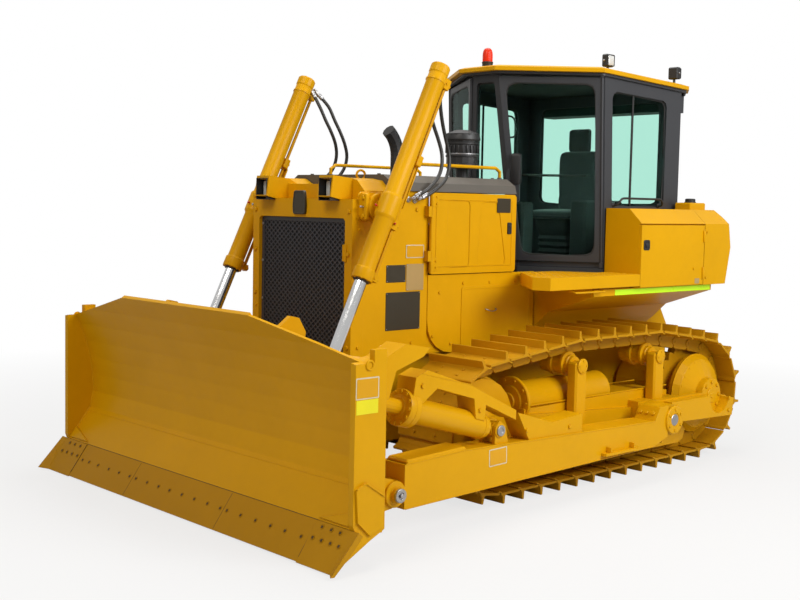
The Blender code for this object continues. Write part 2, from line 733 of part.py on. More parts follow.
# Lift cylinders

LEAN = math.atan2(YOKE_Y - EYE_Y, YOKE_Z - EYE_Z)
REACH = math.hypot(YOKE_Y - EYE_Y, YOKE_Z - EYE_Z)


def on_lift(side, far):
    """A point on the cylinder's line, far below the yoke."""
    return (side * LIFT_X, YOKE_Y - far * math.sin(LEAN), YOKE_Z - far * math.cos(LEAN))


def beside_lift(side, far_ends, out_ends, half):
    """A block behind the barrel: its ends along the cylinder's line and out from it, and its half width."""
    corners = []
    for far, out in ((far_ends[0], out_ends[0]), (far_ends[0], out_ends[1]),
                     (far_ends[1], out_ends[1]), (far_ends[1], out_ends[0])):
        x, y, z = on_lift(side, far)
        corners.append((y + out * math.cos(LEAN), z - out * math.sin(LEAN)))
    return side_plate([corners], (side * LIFT_X - half, side * LIFT_X + half))


def behind_lift(side, far, out):
    """A point of the oil pipe, which runs out from the cylinder's line on its rear side."""
    x, y, z = on_lift(side, far)
    return (x, y + out * math.cos(LEAN), z - out * math.sin(LEAN))


def make_lift(side, tag):
    """A lift cylinder: barrel with its head, trunnion band and gland, oil pipes behind it, and the rod."""
    barrel = "lift_barrel_" + tag
    pivot(barrel, (side * LIFT_X, YOKE_Y, YOKE_Z))
    long = BARREL_BELOW + BARREL_ABOVE
    bore = ROD_R + ROD_FIT
    band = BARREL_R + BARREL_BAND
    profile = [(0, 0), (BARREL_R - 0.01, 0), (BARREL_R + 0.006, 0.012), (BARREL_R + 0.006, 0.07),
               (BARREL_R, 0.08),
               (BARREL_R, BARREL_ABOVE - 0.085), (band, BARREL_ABOVE - 0.075), (band, BARREL_ABOVE + 0.075),
               (BARREL_R, BARREL_ABOVE + 0.085), (BARREL_R, long - 0.09), (BARREL_R + 0.01, long - 0.08),
               (BARREL_R + 0.01, long), (bore, long), (bore, 0.05), (0, 0.05)]
    tube = turned(profile, on_lift(side, -BARREL_ABOVE), on_lift(side, BARREL_BELOW), 16)
    ports = ((-1.10, -1.02), (0.05, 0.13), (0.49, 0.54))
    blocks = [beside_lift(side, ends, (BARREL_R - 0.015, PIPE_OUT + 0.022), 0.024) for ends in ports]
    pipes = [pipe([behind_lift(side, above[1] - 0.01, PIPE_OUT),
                   behind_lift(side, below[0] + 0.01, PIPE_OUT)], PIPE_R, 1)
             for above, below in zip(ports, ports[1:])]
    node(barrel, fuse(tube, *blocks, *pipes), "yellow", barrel)
    slide = "lift_rod_" + tag
    pivot(slide, (side * LIFT_X, EYE_Y, EYE_Z))
    shaft = rod(on_lift(side, REACH), on_lift(side, REACH - 1.70), ROD_R, 16)
    eye = rod((side * LIFT_X - 0.04, EYE_Y, EYE_Z), (side * LIFT_X + 0.04, EYE_Y, EYE_Z), 0.07, 16)
    node(slide, fuse(shaft, eye), "chrome", slide)


# Blade with its cutting edge, push arms, tilt cylinder and brace

def on_edge(far, over):
    """A point of the lower face: far below the seam, over in front of the face."""
    along = (Vector(TIP) - Vector(SEAM)).normalized()
    return tuple(Vector(SEAM) + along * far + Vector((along.y, -along.x)) * over)


def on_edge_foot(thick):
    """Where the back of the cutting edge meets the height of its tip."""
    along = (Vector(TIP) - Vector(SEAM)).normalized()
    return (TIP[0] - thick / along.y, TIP[1])


def face_line():
    """The blade's front from the seam up: lower plate, bent strip, then an arc to the top edge."""
    rise = FACE_TOP[1] - FACE_DEEP[1]
    lean = FACE_DEEP[0] - FACE_TOP[0]
    radius = (rise * rise + lean * lean) / (2 * lean)
    line = [SEAM, (-4.505, 0.385), (-4.425, 0.49)]
    for k in range(7):
        z = FACE_DEEP[1] + rise * k / 6
        back = radius - math.sqrt(radius * radius - (z - FACE_DEEP[1]) ** 2)
        line.append((FACE_DEEP[0] - back, z))
    return line


def make_blade():
    body = "blade_lift"
    pivot(body, (0, TRUNNION_Y, TRUNNION_Z))
    front = face_line()
    front[0] = on_edge(-0.0015, 0.0)
    board = side_plate([band(front, -0.03)], (-END_OUT + 0.035, END_OUT - 0.035))
    pieces = [board]
    for side in (-1, 1):
        behind = BIT_THICK + 2 * GAP
        wing = [(-4.625, 1.262), (-4.47, 1.335), (-4.375, 1.335), (-4.37, 0.22), (-4.49, 0.165),
                on_edge(0.22, -behind), on_edge(-GAP, -behind), on_edge(-GAP, 0.003), (-4.628, 0.28)]
        pieces.append(side_plate([wing], (side * (END_OUT - 0.045), side * END_OUT)))
        doubler = [(-4.60, 0.295), (-4.615, 0.50), (-4.54, 0.53), (-4.39, 0.43), (-4.39, 0.24), (-4.50, 0.20)]
        pieces.append(side_plate([doubler], (side * (END_OUT - 0.01), side * (END_OUT + 0.015))))
        for x in (LIFT_X - 0.075, LIFT_X + 0.05):
            ear = [(-4.385, 0.50), (-4.16, 0.54), (-4.10, 0.65), (-4.16, 0.76), (-4.385, 0.86)]
            pieces.append(side_plate([rounded(ear, (0, 0.03, 0.05, 0.03, 0), 2)],
                                     (side * x, side * (x + 0.025))))
        for x in (1.365, 1.495):
            lug = [(-4.40, 0.20), (-4.05, 0.24), (-3.965, 0.333), (-4.05, 0.43), (-4.40, 0.52)]
            pieces.append(side_plate([rounded(lug, (0, 0.03, 0.06, 0.03, 0), 2)],
                                     (side * x, side * (x + 0.04))))
        pieces.append(rod((side * 1.37, -4.04, 0.333), (side * 1.59, -4.04, 0.333), 0.05, 16))
    high = [(-4.42, 1.05), (-4.34, 1.05), (-4.34, 1.25), (-4.47, 1.25)]
    pieces.append(side_plate([high], (-END_OUT + 0.038, END_OUT - 0.038)))
    low = [on_edge(-0.06, -0.02), on_edge(-0.003, -0.02), on_edge(-0.003, -BIT_THICK - 3 * GAP),
           on_edge(0.10, -BIT_THICK - 3 * GAP), (-4.50, 0.187), (-4.352, 0.187), (-4.352, 0.50), (-4.39, 0.505)]
    pieces.append(side_plate([low], (-END_OUT + 0.04, END_OUT - 0.04)))
    for side in (-1, 1):
        guard_lug = [(-4.38, 1.10), (-4.22, 1.12), (-4.18, 1.33), (-4.24, 1.43), (-4.31, 1.445), (-4.40, 1.38)]
        pieces.append(side_plate([guard_lug], (side * 0.735, side * 0.775)))
    hose_cover = [(-4.38, 0.97), (-4.16, 0.975), (-4.10, 1.15), (-3.86, 1.225), (-3.80, 1.28), (-4.02, 1.32),
                  (-4.20, 1.235), (-4.39, 1.215)]
    past_head = Vector(TILT_HEAD) * 1.03 - Vector(TILT_FOOT) * 0.03
    room = rod(past_head, TILT_FOOT, 0.062, 12)
    pieces.append(cut(side_plate([hose_cover], (1.415, 1.60)), room))
    for x in (-1.30, -0.45, 0.45, 1.30):
        rib = [(-4.384, 0.45), (-4.347, 0.45), (-4.347, 1.10), (-4.384, 1.10)]
        pieces.append(side_plate([rib], (x - 0.02, x + 0.02)))
    blade = fuse(*pieces)
    for side in (-1, 1):
        slope = [(side * 0.80, FACE_TOP[1]), (side * (END_OUT - 0.01), 1.255), (side * (END_OUT + 0.2), 1.26),
                 (side * (END_OUT + 0.2), 1.8), (side * 0.80, 1.8)]
        wedge = front_plate([slope], (-4.80, -4.475))
        blade = cut(blade, wedge)
    node("blade", blade, "yellow", body)
    bit_in = BLADE_HALF - BIT_WIDE
    bar = side_plate([[on_edge(GAP, 0), TIP, on_edge_foot(EDGE_THICK), on_edge(GAP, -EDGE_THICK)]],
                     (-bit_in - 0.01, bit_in + 0.01))
    bits = []
    for side in (-1, 1):
        bit = [on_edge(0.002, 0.006), (TIP[0] - 0.005, 0.008), (TIP[0] + 0.02, 0.008),
               on_edge(0.10, -BIT_THICK),
               on_edge(0.002, -BIT_THICK)]
        tip = [on_edge(0.002, 0.012), (BLADE_TIP_Y, 0.018), (-4.81, 0.015), on_edge(0.10, -0.02),
               on_edge(0.006, -EDGE_THICK)]
        bits.append(loft([(side * bit_in, bit), (side * (BLADE_HALF - 0.0725), bit), (side * BLADE_HALF, tip)]))
    node("cutting_edge", fuse(bar, *bits), "worn", body, smooth=False)
    for side, tag in ((1, "left"), (-1, "right")):
        outline = [(-3.96, 0.219), (-2.815, 0.249), (-1.154, 0.287), (-0.98, 0.345), (-0.98, 0.605),
                   (-1.10, 0.60), (-1.166, 0.49), (-2.61, 0.522), (-3.40, 0.542), (-3.96, 0.516)]
        arm = side_plate([outline], (side * ARM_INNER, side * ARM_OUTER))
        boss = rod((side * (ARM_INNER - 0.003), TRUNNION_Y, TRUNNION_Z),
                   (side * 1.52, TRUNNION_Y, TRUNNION_Z), 0.13, 14)
        tongue = side_plate([rounded([(-4.11, 0.27), (-3.90, 0.26), (-3.90, 0.41), (-4.11, 0.40)],
                                     (0.05, 0, 0, 0.05), 3)], (side * 1.4055, side * 1.4945))
        arm = fuse(arm, boss, tongue)
        hole = rod((side * 1.2, TRUNNION_Y, TRUNNION_Z), (side * 1.7, TRUNNION_Y, TRUNNION_Z),
                   ARM_PIN_R + ARM_PIN_FIT, 24)
        eye = rod((side * 1.2, -4.04, 0.333), (side * 1.7, -4.04, 0.333), 0.05 + GAP, 16)
        arm = cut(arm, hole, eye)
        ears = []
        for x in (1.375, 1.495):
            ear = [(-3.07, 0.50), (-2.92, 0.50), (-2.96, 0.66), (-3.02, 0.70), (-3.065, 0.66)]
            ears.append(side_plate([ear], (side * x, side * (x + 0.03))))
        step = block((side * 1.54, side * 1.60), (-1.87, -1.43), (0.30, 0.32))
        extras = [step, *ears]
        if side == 1:
            rear_cover = [(-2.84, 0.74), (-2.70, 0.505), (-2.10, 0.49), (-2.10, 0.655), (-2.45, 0.625)]
            extras.append(side_plate([rear_cover], (1.365, 1.535)))
        node("push_arm_" + tag, fuse(arm, *extras), "yellow", body)
    head, foot = TILT_HEAD, TILT_FOOT
    long = (Vector(head) - Vector(foot)).length
    thick = [(0, 0.10), (0.08, 0.10), (0.088, 0.13), (0.088, 0.86), (0.125, 0.86), (0.125, 0.92), (0.10, 0.95),
             (0.05, 0.96), (0.05, long), (0, long)]
    cylinder = turned(thick, foot, head, 14)
    eye = rod((1.405 + GAP, -3.02, 0.63), (1.495 - GAP, -3.02, 0.63), 0.06, 12)
    stem = rod((1.45, -3.02, 0.63), (1.45, -3.16, 0.6685), 0.04, 12)
    cover = [(-3.89, 0.92), (-3.86, 1.08), (-3.75, 1.12), (-3.33, 0.98), (-2.86, 0.76), (-2.86, 0.69),
             (-3.18, 0.83),
             (-3.19, 0.72), (-3.28, 0.745), (-3.30, 0.885), (-3.66, 0.99), (-3.80, 0.90)]
    cover = side_plate([cover], (1.365, 1.535))
    node("tilt_cylinder", fuse(cylinder, eye, stem, cover), "yellow", body)
    thin = [(0, 0.06), (0.045, 0.06), (0.05, 0.30), (0.065, 0.32), (0.065, 0.80), (0.045, 0.82),
            (0.045, long), (0, long)]
    brace = turned(thin, (-1.45, *foot[1:]), (-1.45, *head[1:]), 14)
    eye = rod((-1.405 - GAP, -3.02, 0.63), (-1.495 + GAP, -3.02, 0.63), 0.06, 12)
    stem = rod((-1.45, -3.02, 0.63), (-1.45, -3.16, 0.6685), 0.04, 12)
    node("tilt_brace", fuse(brace, eye, stem), "yellow", body)


# Cab: six walls round a hexagon, the floor and the roof

def roof_z(y):
    """The underside of the roof, which falls to the rear."""
    share = (y - NOSE_HIGH[1]) / (CAB_REAR - NOSE_HIGH[1])
    return ROOF_FRONT_Z + (ROOF_REAR_Z - ROOF_FRONT_Z) * share


ROOF_FALL = math.atan2(ROOF_FRONT_Z - ROOF_REAR_Z, CAB_REAR - NOSE_HIGH[1])


def on_roof(x, back, high=GAP):
    """A point above the roof's top, back along its slope from the head of the nose."""
    rise = ROOF_THICK + high
    return (x, NOSE_HIGH[1] + back * math.cos(ROOF_FALL) + rise * math.sin(ROOF_FALL),
            ROOF_FRONT_Z - back * math.sin(ROOF_FALL) + rise * math.cos(ROOF_FALL))


def inset_loop(loop, left, right, low, high):
    """The window of a four-cornered panel, its sides moved in from the panel's own."""
    a, b, c, d = [Vector(p) for p in loop]

    def side(p, q, share_low, share_high):
        return p.lerp(q, share_low), p.lerp(q, share_high)
    height_left = (d - a).length
    height_right = (c - b).length
    a2 = a.lerp(d, low / height_left)
    d2 = a.lerp(d, 1 - high / height_left)
    b2 = b.lerp(c, low / height_right)
    c2 = b.lerp(c, 1 - high / height_right)
    low_edge = (b2 - a2).normalized()
    high_edge = (c2 - d2).normalized()
    return [tuple(a2 + low_edge * left), tuple(b2 - low_edge * right),
            tuple(c2 - high_edge * right), tuple(d2 + high_edge * left)]


BASE = FLOOR_Z + GAP


def corner(x_low, y_low, x_high, y_high):
    """A corner line of the cab, from the floor to the roof's underside."""
    return Vector((x_low, y_low, BASE)), Vector((x_high, y_high, roof_z(y_high) - GAP))


def on_wall(first, last, far):
    """The corner line that lies far from first, towards last, level with both."""
    made = []
    for a, b in zip(first, last):
        spot = a + (b - a) * far / (b - a).to_2d().length
        made.append(spot)
    return tuple(made)


def inside(line, before, after, deep=CAB_WALL):
    """The corner line moved in from the walls on both sides, by their thickness if not said."""
    made = []
    for here, back, ahead in zip(line, before, after):
        first = (here - back).to_2d().normalized()
        second = (ahead - here).to_2d().normalized()
        normal = Vector((-first.y - second.y, first.x + second.x)).normalized()
        spot = here.to_2d() + normal * deep / normal.dot(Vector((-first.y, first.x)))
        made.append(Vector((spot.x, spot.y, BASE if here is line[0] else roof_z(spot.y) - GAP)))
    return tuple(made)


def stretch_of(line, low, high):
    """The part of a line between two distances from its foot, or from its head if negative."""
    foot, head = line
    rise = (head - foot).normalized()
    return tuple((foot if far >= 0 else head) + rise * far for far in (low, high))


def mirrored(lines):
    """The same corner lines on the other side, in the opposite order."""
    return [tuple(Vector((-point.x, point.y, point.z)) for point in line) for line in reversed(lines)]


def standing(outer, inner):
    """A wall from the floor to the roof between corner lines on its outside and its inside."""
    work = bmesh.new()
    rows = [[(work.verts.new(foot), work.verts.new(head)) for foot, head in side] for side in (outer, inner)]
    for i in range(len(outer) - 1):
        (a, a_head), (b, b_head) = rows[0][i:i + 2]
        (c, c_head), (d, d_head) = rows[1][i:i + 2]
        for face in ((a, b, b_head, a_head), (c, d, d_head, c_head), (a, b, d, c),
                     (a_head, b_head, d_head, c_head)):
            work.faces.new(face)
    for i in (0, -1):
        work.faces.new((*rows[0][i], *rows[1][i][::-1]))
    mesh = bpy.data.meshes.new("standing")
    work.to_mesh(mesh)
    work.free()
    return tidy(loose(mesh))


def panel(first, last, trims, deep=0.0, thick=CAB_WALL):
    """A flat panel between two corner lines: its outline and its place."""
    low0, high0 = first
    low1, high1 = last
    run_low = (low1 - low0).normalized()
    run_high = (high1 - high0).normalized()
    rise0 = (high0 - low0).normalized()
    rise1 = (high1 - low1).normalized()
    a = low0 + run_low * trims[0] + rise0 * trims[2]
    b = low1 - run_low * trims[1] + rise1 * trims[2]
    c = high1 - run_high * trims[1] - rise1 * trims[3]
    d = high0 + run_high * trims[0] - rise0 * trims[3]
    u_axis = (b - a).normalized()
    up = d - a
    place = frame(a, u_axis, up - u_axis * up.dot(u_axis))
    flat = place.inverted()
    loop = [((flat @ point).x, (flat @ point).y) for point in (a, b, c, d)]
    return loop, place @ Matrix.Translation((0, 0, -thick - deep))


def window_loop(loop, window, gap=0.0):
    """The rounded window of a panel: insets from its left, right, foot and head, and a radius."""
    left, right, low, high, radius = window
    return rounded(inset_loop(loop, left + gap, right + gap, low + gap, high + gap), radius, 2)


def glazed(first, last, trims, window, wall=None, deep=0.0, thick=CAB_WALL):
    """A wall or a door with its window cut, and the pane that fills the window."""
    loop, place = panel(first, last, trims, deep, thick)
    if wall is None:
        wall = plate([loop, window_loop(loop, window)], place, thick)
    else:
        opening = plate([window_loop(loop, window)], place @ Matrix.Translation((0, 0, -0.1)), thick + 0.2)
        wall = cut(wall, opening)
    middle = place @ Matrix.Translation((0, 0, thick / 2 - GLASS / 2))
    pane = plate([window_loop(loop, window, GAP)], middle, GLASS)
    return wall, pane


def hinge(loop, place, side):
    """A cab door's hinge: its knuckle, the brackets above and below it, and the axis's foot."""
    low, high = (loop[1], loop[2]) if side == 1 else (loop[0], loop[3])
    foot = place @ Vector((low[0] + side * HINGE_OUT, low[1], DOOR_THICK))
    head = place @ Vector((high[0] + side * HINGE_OUT, high[1], DOOR_THICK))
    knuckle = rod(foot, head, KNUCKLE_R, 10)
    brackets = []
    for middle, v_ends in ((low[0], (low[1] - 0.045, low[1] - 2 * GAP)),
                           (high[0], (high[1] + 2 * GAP, high[1] + 0.026))):
        u_ends = (middle + side * HINGE_OUT - 0.014, middle + side * HINGE_OUT + 0.014)
        outline = [(u_ends[0], v_ends[0]), (u_ends[1], v_ends[0]), (u_ends[1], v_ends[1]),
                   (u_ends[0], v_ends[1])]
        brackets.append(plate([outline], place @ Matrix.Translation((0, 0, -DOOR_OFF - 0.012)), 0.05))
    return knuckle, brackets, foot


def make_cab_walls():
    """The front with the nose posts, two sides with the door posts, the rear, two doors."""
    whole = (0.0, 0.0, 0.0, 0.0)
    nose = corner(*NOSE_LOW, *NOSE_HIGH)
    post = corner(CAB_SIDE, POST_LOW, CAB_SIDE, POST_HIGH)
    rear = corner(CAB_SIDE, CAB_REAR, CAB_SIDE, CAB_REAR)
    other_nose, other_post = mirrored([post, nose])
    jamb = on_wall(nose, post, NOSE_POST)
    outer = [jamb, nose]
    inner = [inside(jamb, nose, post), inside(nose, other_nose, post)]
    front = standing(outer + mirrored(outer), inner + mirrored(inner))
    front, pane = glazed(other_nose, nose, whole, (0.045, 0.045, 0.50, 0.08, 0.03), front)
    node("cab_front", front, "charcoal", smooth=False)
    node("front_glass", pane, "glass", smooth=False)
    jamb = on_wall(post, nose, POST_WIDE)
    lip = on_wall(nose, post, NOSE_POST + GAP)
    root = on_wall(post, nose, POST_WIDE - 0.02)
    end = Vector((CAB_WALL, 0, 0))
    rear_in = tuple(point - end for point in rear)
    outer = [jamb, post, rear]
    inner = [inside(jamb, nose, post), inside(post, nose, rear), rear_in]
    crossbar = [[inside(line, nose, post, deep) for line in (lip, root)] for deep in (0.004, CAB_WALL - 0.004)]
    for side, tag in ((1, "left"), (-1, "right")):
        def on_side(*chosen):
            return list(chosen) if side == 1 else mirrored(chosen)
        body = "cab_door_" + tag
        trims = (0.012, 0.030, 0.05, 0.035) if side == 1 else (0.030, 0.012, 0.05, 0.035)
        window = (0.05, 0.05, 0.05, 0.05, 0.07)
        door, pane = glazed(*on_side(nose, post), trims, window, None, -DOOR_OFF - DOOR_THICK, DOOR_THICK)
        loop, place = panel(*on_side(nose, post), trims, -DOOR_OFF - DOOR_THICK, DOOR_THICK)
        knuckle, brackets, foot = hinge(loop, place, side)
        edge_u = (loop[0][0] * 2 + loop[3][0]) / 3 if side == 1 else (loop[1][0] * 2 + loop[2][0]) / 3
        grip = [(edge_u - side * 0.03, 0.50), (edge_u + side * 0.085, 0.50), (edge_u + side * 0.085, 0.78),
                (edge_u - side * 0.03, 0.78)]
        grip = plate([rounded(grip, 0.02, 2)], place @ Matrix.Translation((0, 0, DOOR_THICK - 0.004)), 0.05)
        door = fuse(door, knuckle, grip)
        pivot(body, tuple(foot))
        node(body, door, "charcoal", body, smooth=False)
        node("door_glass_" + tag, pane, "glass", body, smooth=False)
        bars = []
        for low, high in ((0.002, 0.045), (-0.028, -0.002)):
            bars.append(standing(*[on_side(*[stretch_of(line, low,
                                                        high) for line in row]) for row in crossbar]))
        window = (0.10, 0.22, 0.53, 0.13, 0.06) if side == 1 else (0.22, 0.10, 0.53, 0.13, 0.06)
        wall = fuse(standing(on_side(*outer), on_side(*inner)), *bars, *brackets)
        wall, pane = glazed(*on_side(post, rear), whole, window, wall)
        node("cab_side_" + tag, wall, "charcoal", smooth=False)
        node("side_glass_" + tag, pane, "glass", smooth=False)
    inner = CAB_SIDE - CAB_WALL - GAP
    top = ROOF_REAR_Z - GAP
    frame_loop = [(-inner, BASE), (inner, BASE), (inner, top), (-inner, top)]
    window = [(-0.70, 2.25), (0.70, 2.25), (0.70, top - 0.11), (-0.70, top - 0.11)]
    pane = [(x - math.copysign(GAP, x), z + (GAP if z < 2.5 else -GAP)) for x, z in window]
    back = front_plate([frame_loop, rounded(window, 0.06, 2)], (CAB_REAR - CAB_WALL, CAB_REAR))
    housing = block((-0.77, 0.77), (CAB_REAR - 0.02, CAB_REAR + 0.235), (3.10, 3.268))
    node("cab_rear", fuse(back, housing), "charcoal", smooth=False)
    middle = CAB_REAR - CAB_WALL / 2
    pane = front_plate([rounded(pane, 0.06, 2)], (middle - GLASS / 2, middle + GLASS / 2))
    node("rear_glass", pane, "glass", smooth=False)
    hexagon = [(-0.31, -1.50), (0.31, -1.50), (0.905, -1.09), (0.905, 0.005), (-0.905, 0.005), (-0.905, -1.09)]
    node("cab_floor", flat_plate([hexagon], (FLOOR_Z - FLOOR_THICK, FLOOR_Z)), "charcoal", smooth=False)
    make_roof()


def make_roof():
    """The roof: an eight-sided slab with a sloping rim, the raised hatch, and the two lamps on stalks."""
    slope = (0, math.cos(ROOF_FALL), -math.sin(ROOF_FALL))
    tilt = frame((0, NOSE_HIGH[1], ROOF_FRONT_Z), (1, 0, 0), slope)
    half = ROOF_HALF
    plan = [(-0.21, -1.74), (0.21, -1.74), (half, -1.20), (half, 0.04), (half - 0.15, 0.25),
            (0.15 - half, 0.25),
            (-half, 0.04), (-half, -1.20)]
    level = [(x, (y - NOSE_HIGH[1]) / math.cos(ROOF_FALL)) for x, y in plan]
    middle = sum(v for u, v in level) / len(level)
    rim = [(u * 0.94, middle + (v - middle) * 0.95) for u, v in level]
    slab = loft([(0, level), (ROOF_THICK - 0.018, level), (ROOF_THICK, rim)])
    slab.data.transform(tilt @ Matrix(((0, 1, 0, 0), (0, 0, 1, 0), (1, 0, 0, 0), (0, 0, 0, 1))))
    hatch = rounded([(-0.32, 0.42), (0.32, 0.42), (0.32, 1.08), (-0.32, 1.08)], 0.06, 2)
    hatch = plate([hatch], tilt @ Matrix.Translation((0, 0, ROOF_THICK - 0.01)), HATCH_HIGH + 0.01)
    node("cab_roof", fuse(slab, hatch), "yellow", smooth=False)
    for name, x, back, faces in (("roof_lamp_side", 0.62, 0.90, (1, 0)),
                                 ("roof_lamp_rear", 0.70, 1.80, (0, 1))):
        foot = on_roof(x, back, GAP + STALK_R * math.sin(ROOF_FALL) * 1.1)
        stalk = rod(foot, (foot[0], foot[1], foot[2] + 0.09), STALK_R, 8)
        wide_x = 0.03 + 0.022 * faces[1]
        wide_y = 0.03 + 0.022 * faces[0]
        lamp = block((foot[0] - wide_x, foot[0] + wide_x), (foot[1] - wide_y, foot[1] + wide_y),
                     (foot[2] + 0.075, foot[2] + 0.075 + LAMP_HIGH), 0.01)
        node(name, fuse(lamp, stalk), "black", smooth=False)


def make_cab_inside():
    seat = fuse(block((-0.26, 0.26), (-0.78, -0.28), (2.05, 2.20), 0.03),
                block((-0.24, 0.24), (-0.36, -0.24), (2.15, 2.75), 0.03),
                block((-0.13, 0.13), (-0.34, -0.25), (2.72, 2.95), 0.03),
                block((-0.18, 0.18), (-0.68, -0.36), (FLOOR_Z + GAP, 2.06)))
    node("seat", seat, "fabric")
    desk = fuse(block((-0.25, 0.25), (-1.38, -1.22), (FLOOR_Z + GAP, 2.25), 0.02),
                block((-0.1, 0.1), (-1.25, -0.80), (FLOOR_Z + GAP, FLOOR_Z + 0.06)),
                block((-0.1, 0.4), (-0.95, -0.80), (FLOOR_Z + GAP, FLOOR_Z + 0.05)),
                block((0.34, 0.52), (-0.85, -0.30), (FLOOR_Z + GAP, 2.28), 0.02))
    node("console", desk, "black")


# Platforms, side boxes and the tank across the rear

def make_decks():
    for side, tag in ((1, "left"), (-1, "right")):
        bend = DECK_OUT - DECK_BEVEL
        outline = [(side * 0.64, -1.83), (side * bend, -2.275), (side * DECK_OUT, -2.215),
                   (side * DECK_OUT, BOX_FRONT - GAP), (side * 0.94, BOX_FRONT - GAP), (side * 0.94, -1.20),
                   (side * 0.64, -1.40)]
        top = flat_plate([outline], (DECK_LOW, DECK_TOP))
        skirt_out = DECK_OUT - 0.06
        fender = [(side * (CROSS_HALF + GAP), 1.10), (side * 0.62, 1.22), (side * 0.75, 1.34),
                  (side * skirt_out, 1.50),
                  (side * skirt_out, BOX_LOW - GAP), (side * (CROSS_HALF + GAP), BOX_LOW - GAP)]
        skirt = front_plate([fender], (-1.60, 0.10))
        bridge = block((side * 0.64, side * (DECK_OUT - 0.08)), (-1.60, BOX_FRONT - 0.02),
                       (1.50, DECK_LOW + 0.01))
        node("platform_" + tag, fuse(top, skirt, bridge), "yellow", smooth=False)
        hatch_in = DECK_OUT - HATCH_THICK
        section = [(side * BOX_IN, BOX_LOW), (side * hatch_in, BOX_LOW), (side * hatch_in, 2.085),
                   (side * DECK_OUT, 2.09), (side * bend, BOX_TOP), (side * BOX_IN, BOX_TOP)]
        box = front_plate([section], (BOX_FRONT, BOX_REAR))
        node("side_box_" + tag, box, "yellow", smooth=False)
        hatch = [(BOX_FRONT + 0.004, BOX_LOW + 0.005), (BOX_REAR - 0.004, BOX_LOW + 0.005),
                 (BOX_REAR - 0.004, 2.078), (BOX_FRONT + 0.004, 2.078)]
        if side == 1:
            pivot("box_door_left", (DECK_OUT + 0.008, BOX_REAR, 1.8))
            node("box_door_left", side_plate([hatch], (hatch_in + GAP, DECK_OUT)), "yellow",
                 "box_door_left", False)
        else:
            node("box_panel_right", side_plate([hatch], (-hatch_in - GAP, -DECK_OUT)), "yellow", smooth=False)
    profile = [(BOX_REAR + 0.004, BOX_LOW), (0.23, BOX_LOW), (0.30, 1.88), (0.25, 2.15), (0.21, BOX_TOP),
               (BOX_REAR + 0.004, BOX_TOP)]
    tank = side_plate([profile], (-DECK_OUT, DECK_OUT))
    cutters = [block((-0.935, 0.935), (-0.3, 0.02), (1.4, 2.4))]
    for side in (-1, 1):
        bend = side * (DECK_OUT - DECK_BEVEL)
        far = side * (DECK_OUT + 0.12)
        bevel = [(bend, BOX_TOP), (far, 1.976), (far, BOX_TOP + 0.1), (bend, BOX_TOP + 0.1)]
        cutters.append(front_plate([bevel], (-0.4, 0.5)))
    filler = block((0.93, 1.10), (-0.09, 0.15), (BOX_TOP - 0.02, 2.275), 0.01)
    node("rear_tank", fuse(cut(tank, *cutters), filler), "yellow", smooth=False)


def make_fittings():
    node("precleaner", turned([(0, 0), (0.05, 0), (0.05, 0.08), (0.13, 0.08), (0.13, 0.30), (0.14, 0.30),
                               (0.14, 0.36), (0.06, 0.39), (0, 0.39)], (0.30, -2.20, 2.43 + GAP), (0.30,
                                                                                                   -2.20,
                                                                                                   3.0), 16), "black")
    bend = [(-0.05, -2.60, 2.43 + GAP)]
    for k in range(7):
        angle = math.radians(90 * k / 6 * 0.6)
        bend.append((-0.05, -2.60 - 0.25 * (1 - math.cos(angle)), 2.60 + 0.25 * math.sin(angle)))
    node("exhaust", pipe(bend, 0.055, 3), "black")
    for side, tag in ((1, "left"), (-1, "right")):
        line = [(side * 0.47, -2.95, 2.43 + GAP), (side * 0.47, -2.95, 2.49), (side * 0.47, -2.90, 2.52),
                (side * 0.47, -1.98, 2.52), (side * 0.47, -1.93, 2.49), (side * 0.47, -1.93, 2.43 + GAP)]
        node("handrail_" + tag, pipe(line, 0.014, 2), "yellow")
    node("beacon", turned([(0, 0), (0.05, 0), (0.05, 0.07), (0.045, 0.08), (0.045, 0.15), (0.03, 0.18),
                           (0, 0.19)],
                          on_roof(-0.1, 0.13), on_roof(-0.1, 0.13, 0.3), 14), "beacon")


for side, tag in ((1, "left"), (-1, "right")):
    make_track(side, "track_" + tag)
    make_sprocket(side, "sprocket_" + tag)
    make_final_drive(side, "final_drive_" + tag)
    make_idler(side, "idler_" + tag)
    make_track_frame(side, "track_frame_" + tag)
    make_lift(side, tag)
make_hull()
make_hood()
make_blade()
make_cab_walls()
make_cab_inside()
make_decks()
make_fittings()
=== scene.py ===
# %% [markdown]
# A crawler dozer, dressed for its portrait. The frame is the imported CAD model; every cell below
# adds a finish or a piece that the plain solids lack. Lengths are metres. The machine's own
# measures run along y from its middle sprocket line, so each new piece is moved by SHIFT at the end.

# %% Load the frame
import json
import math

import bmesh
import bpy
import numpy as np
from mathutils import Matrix, Vector

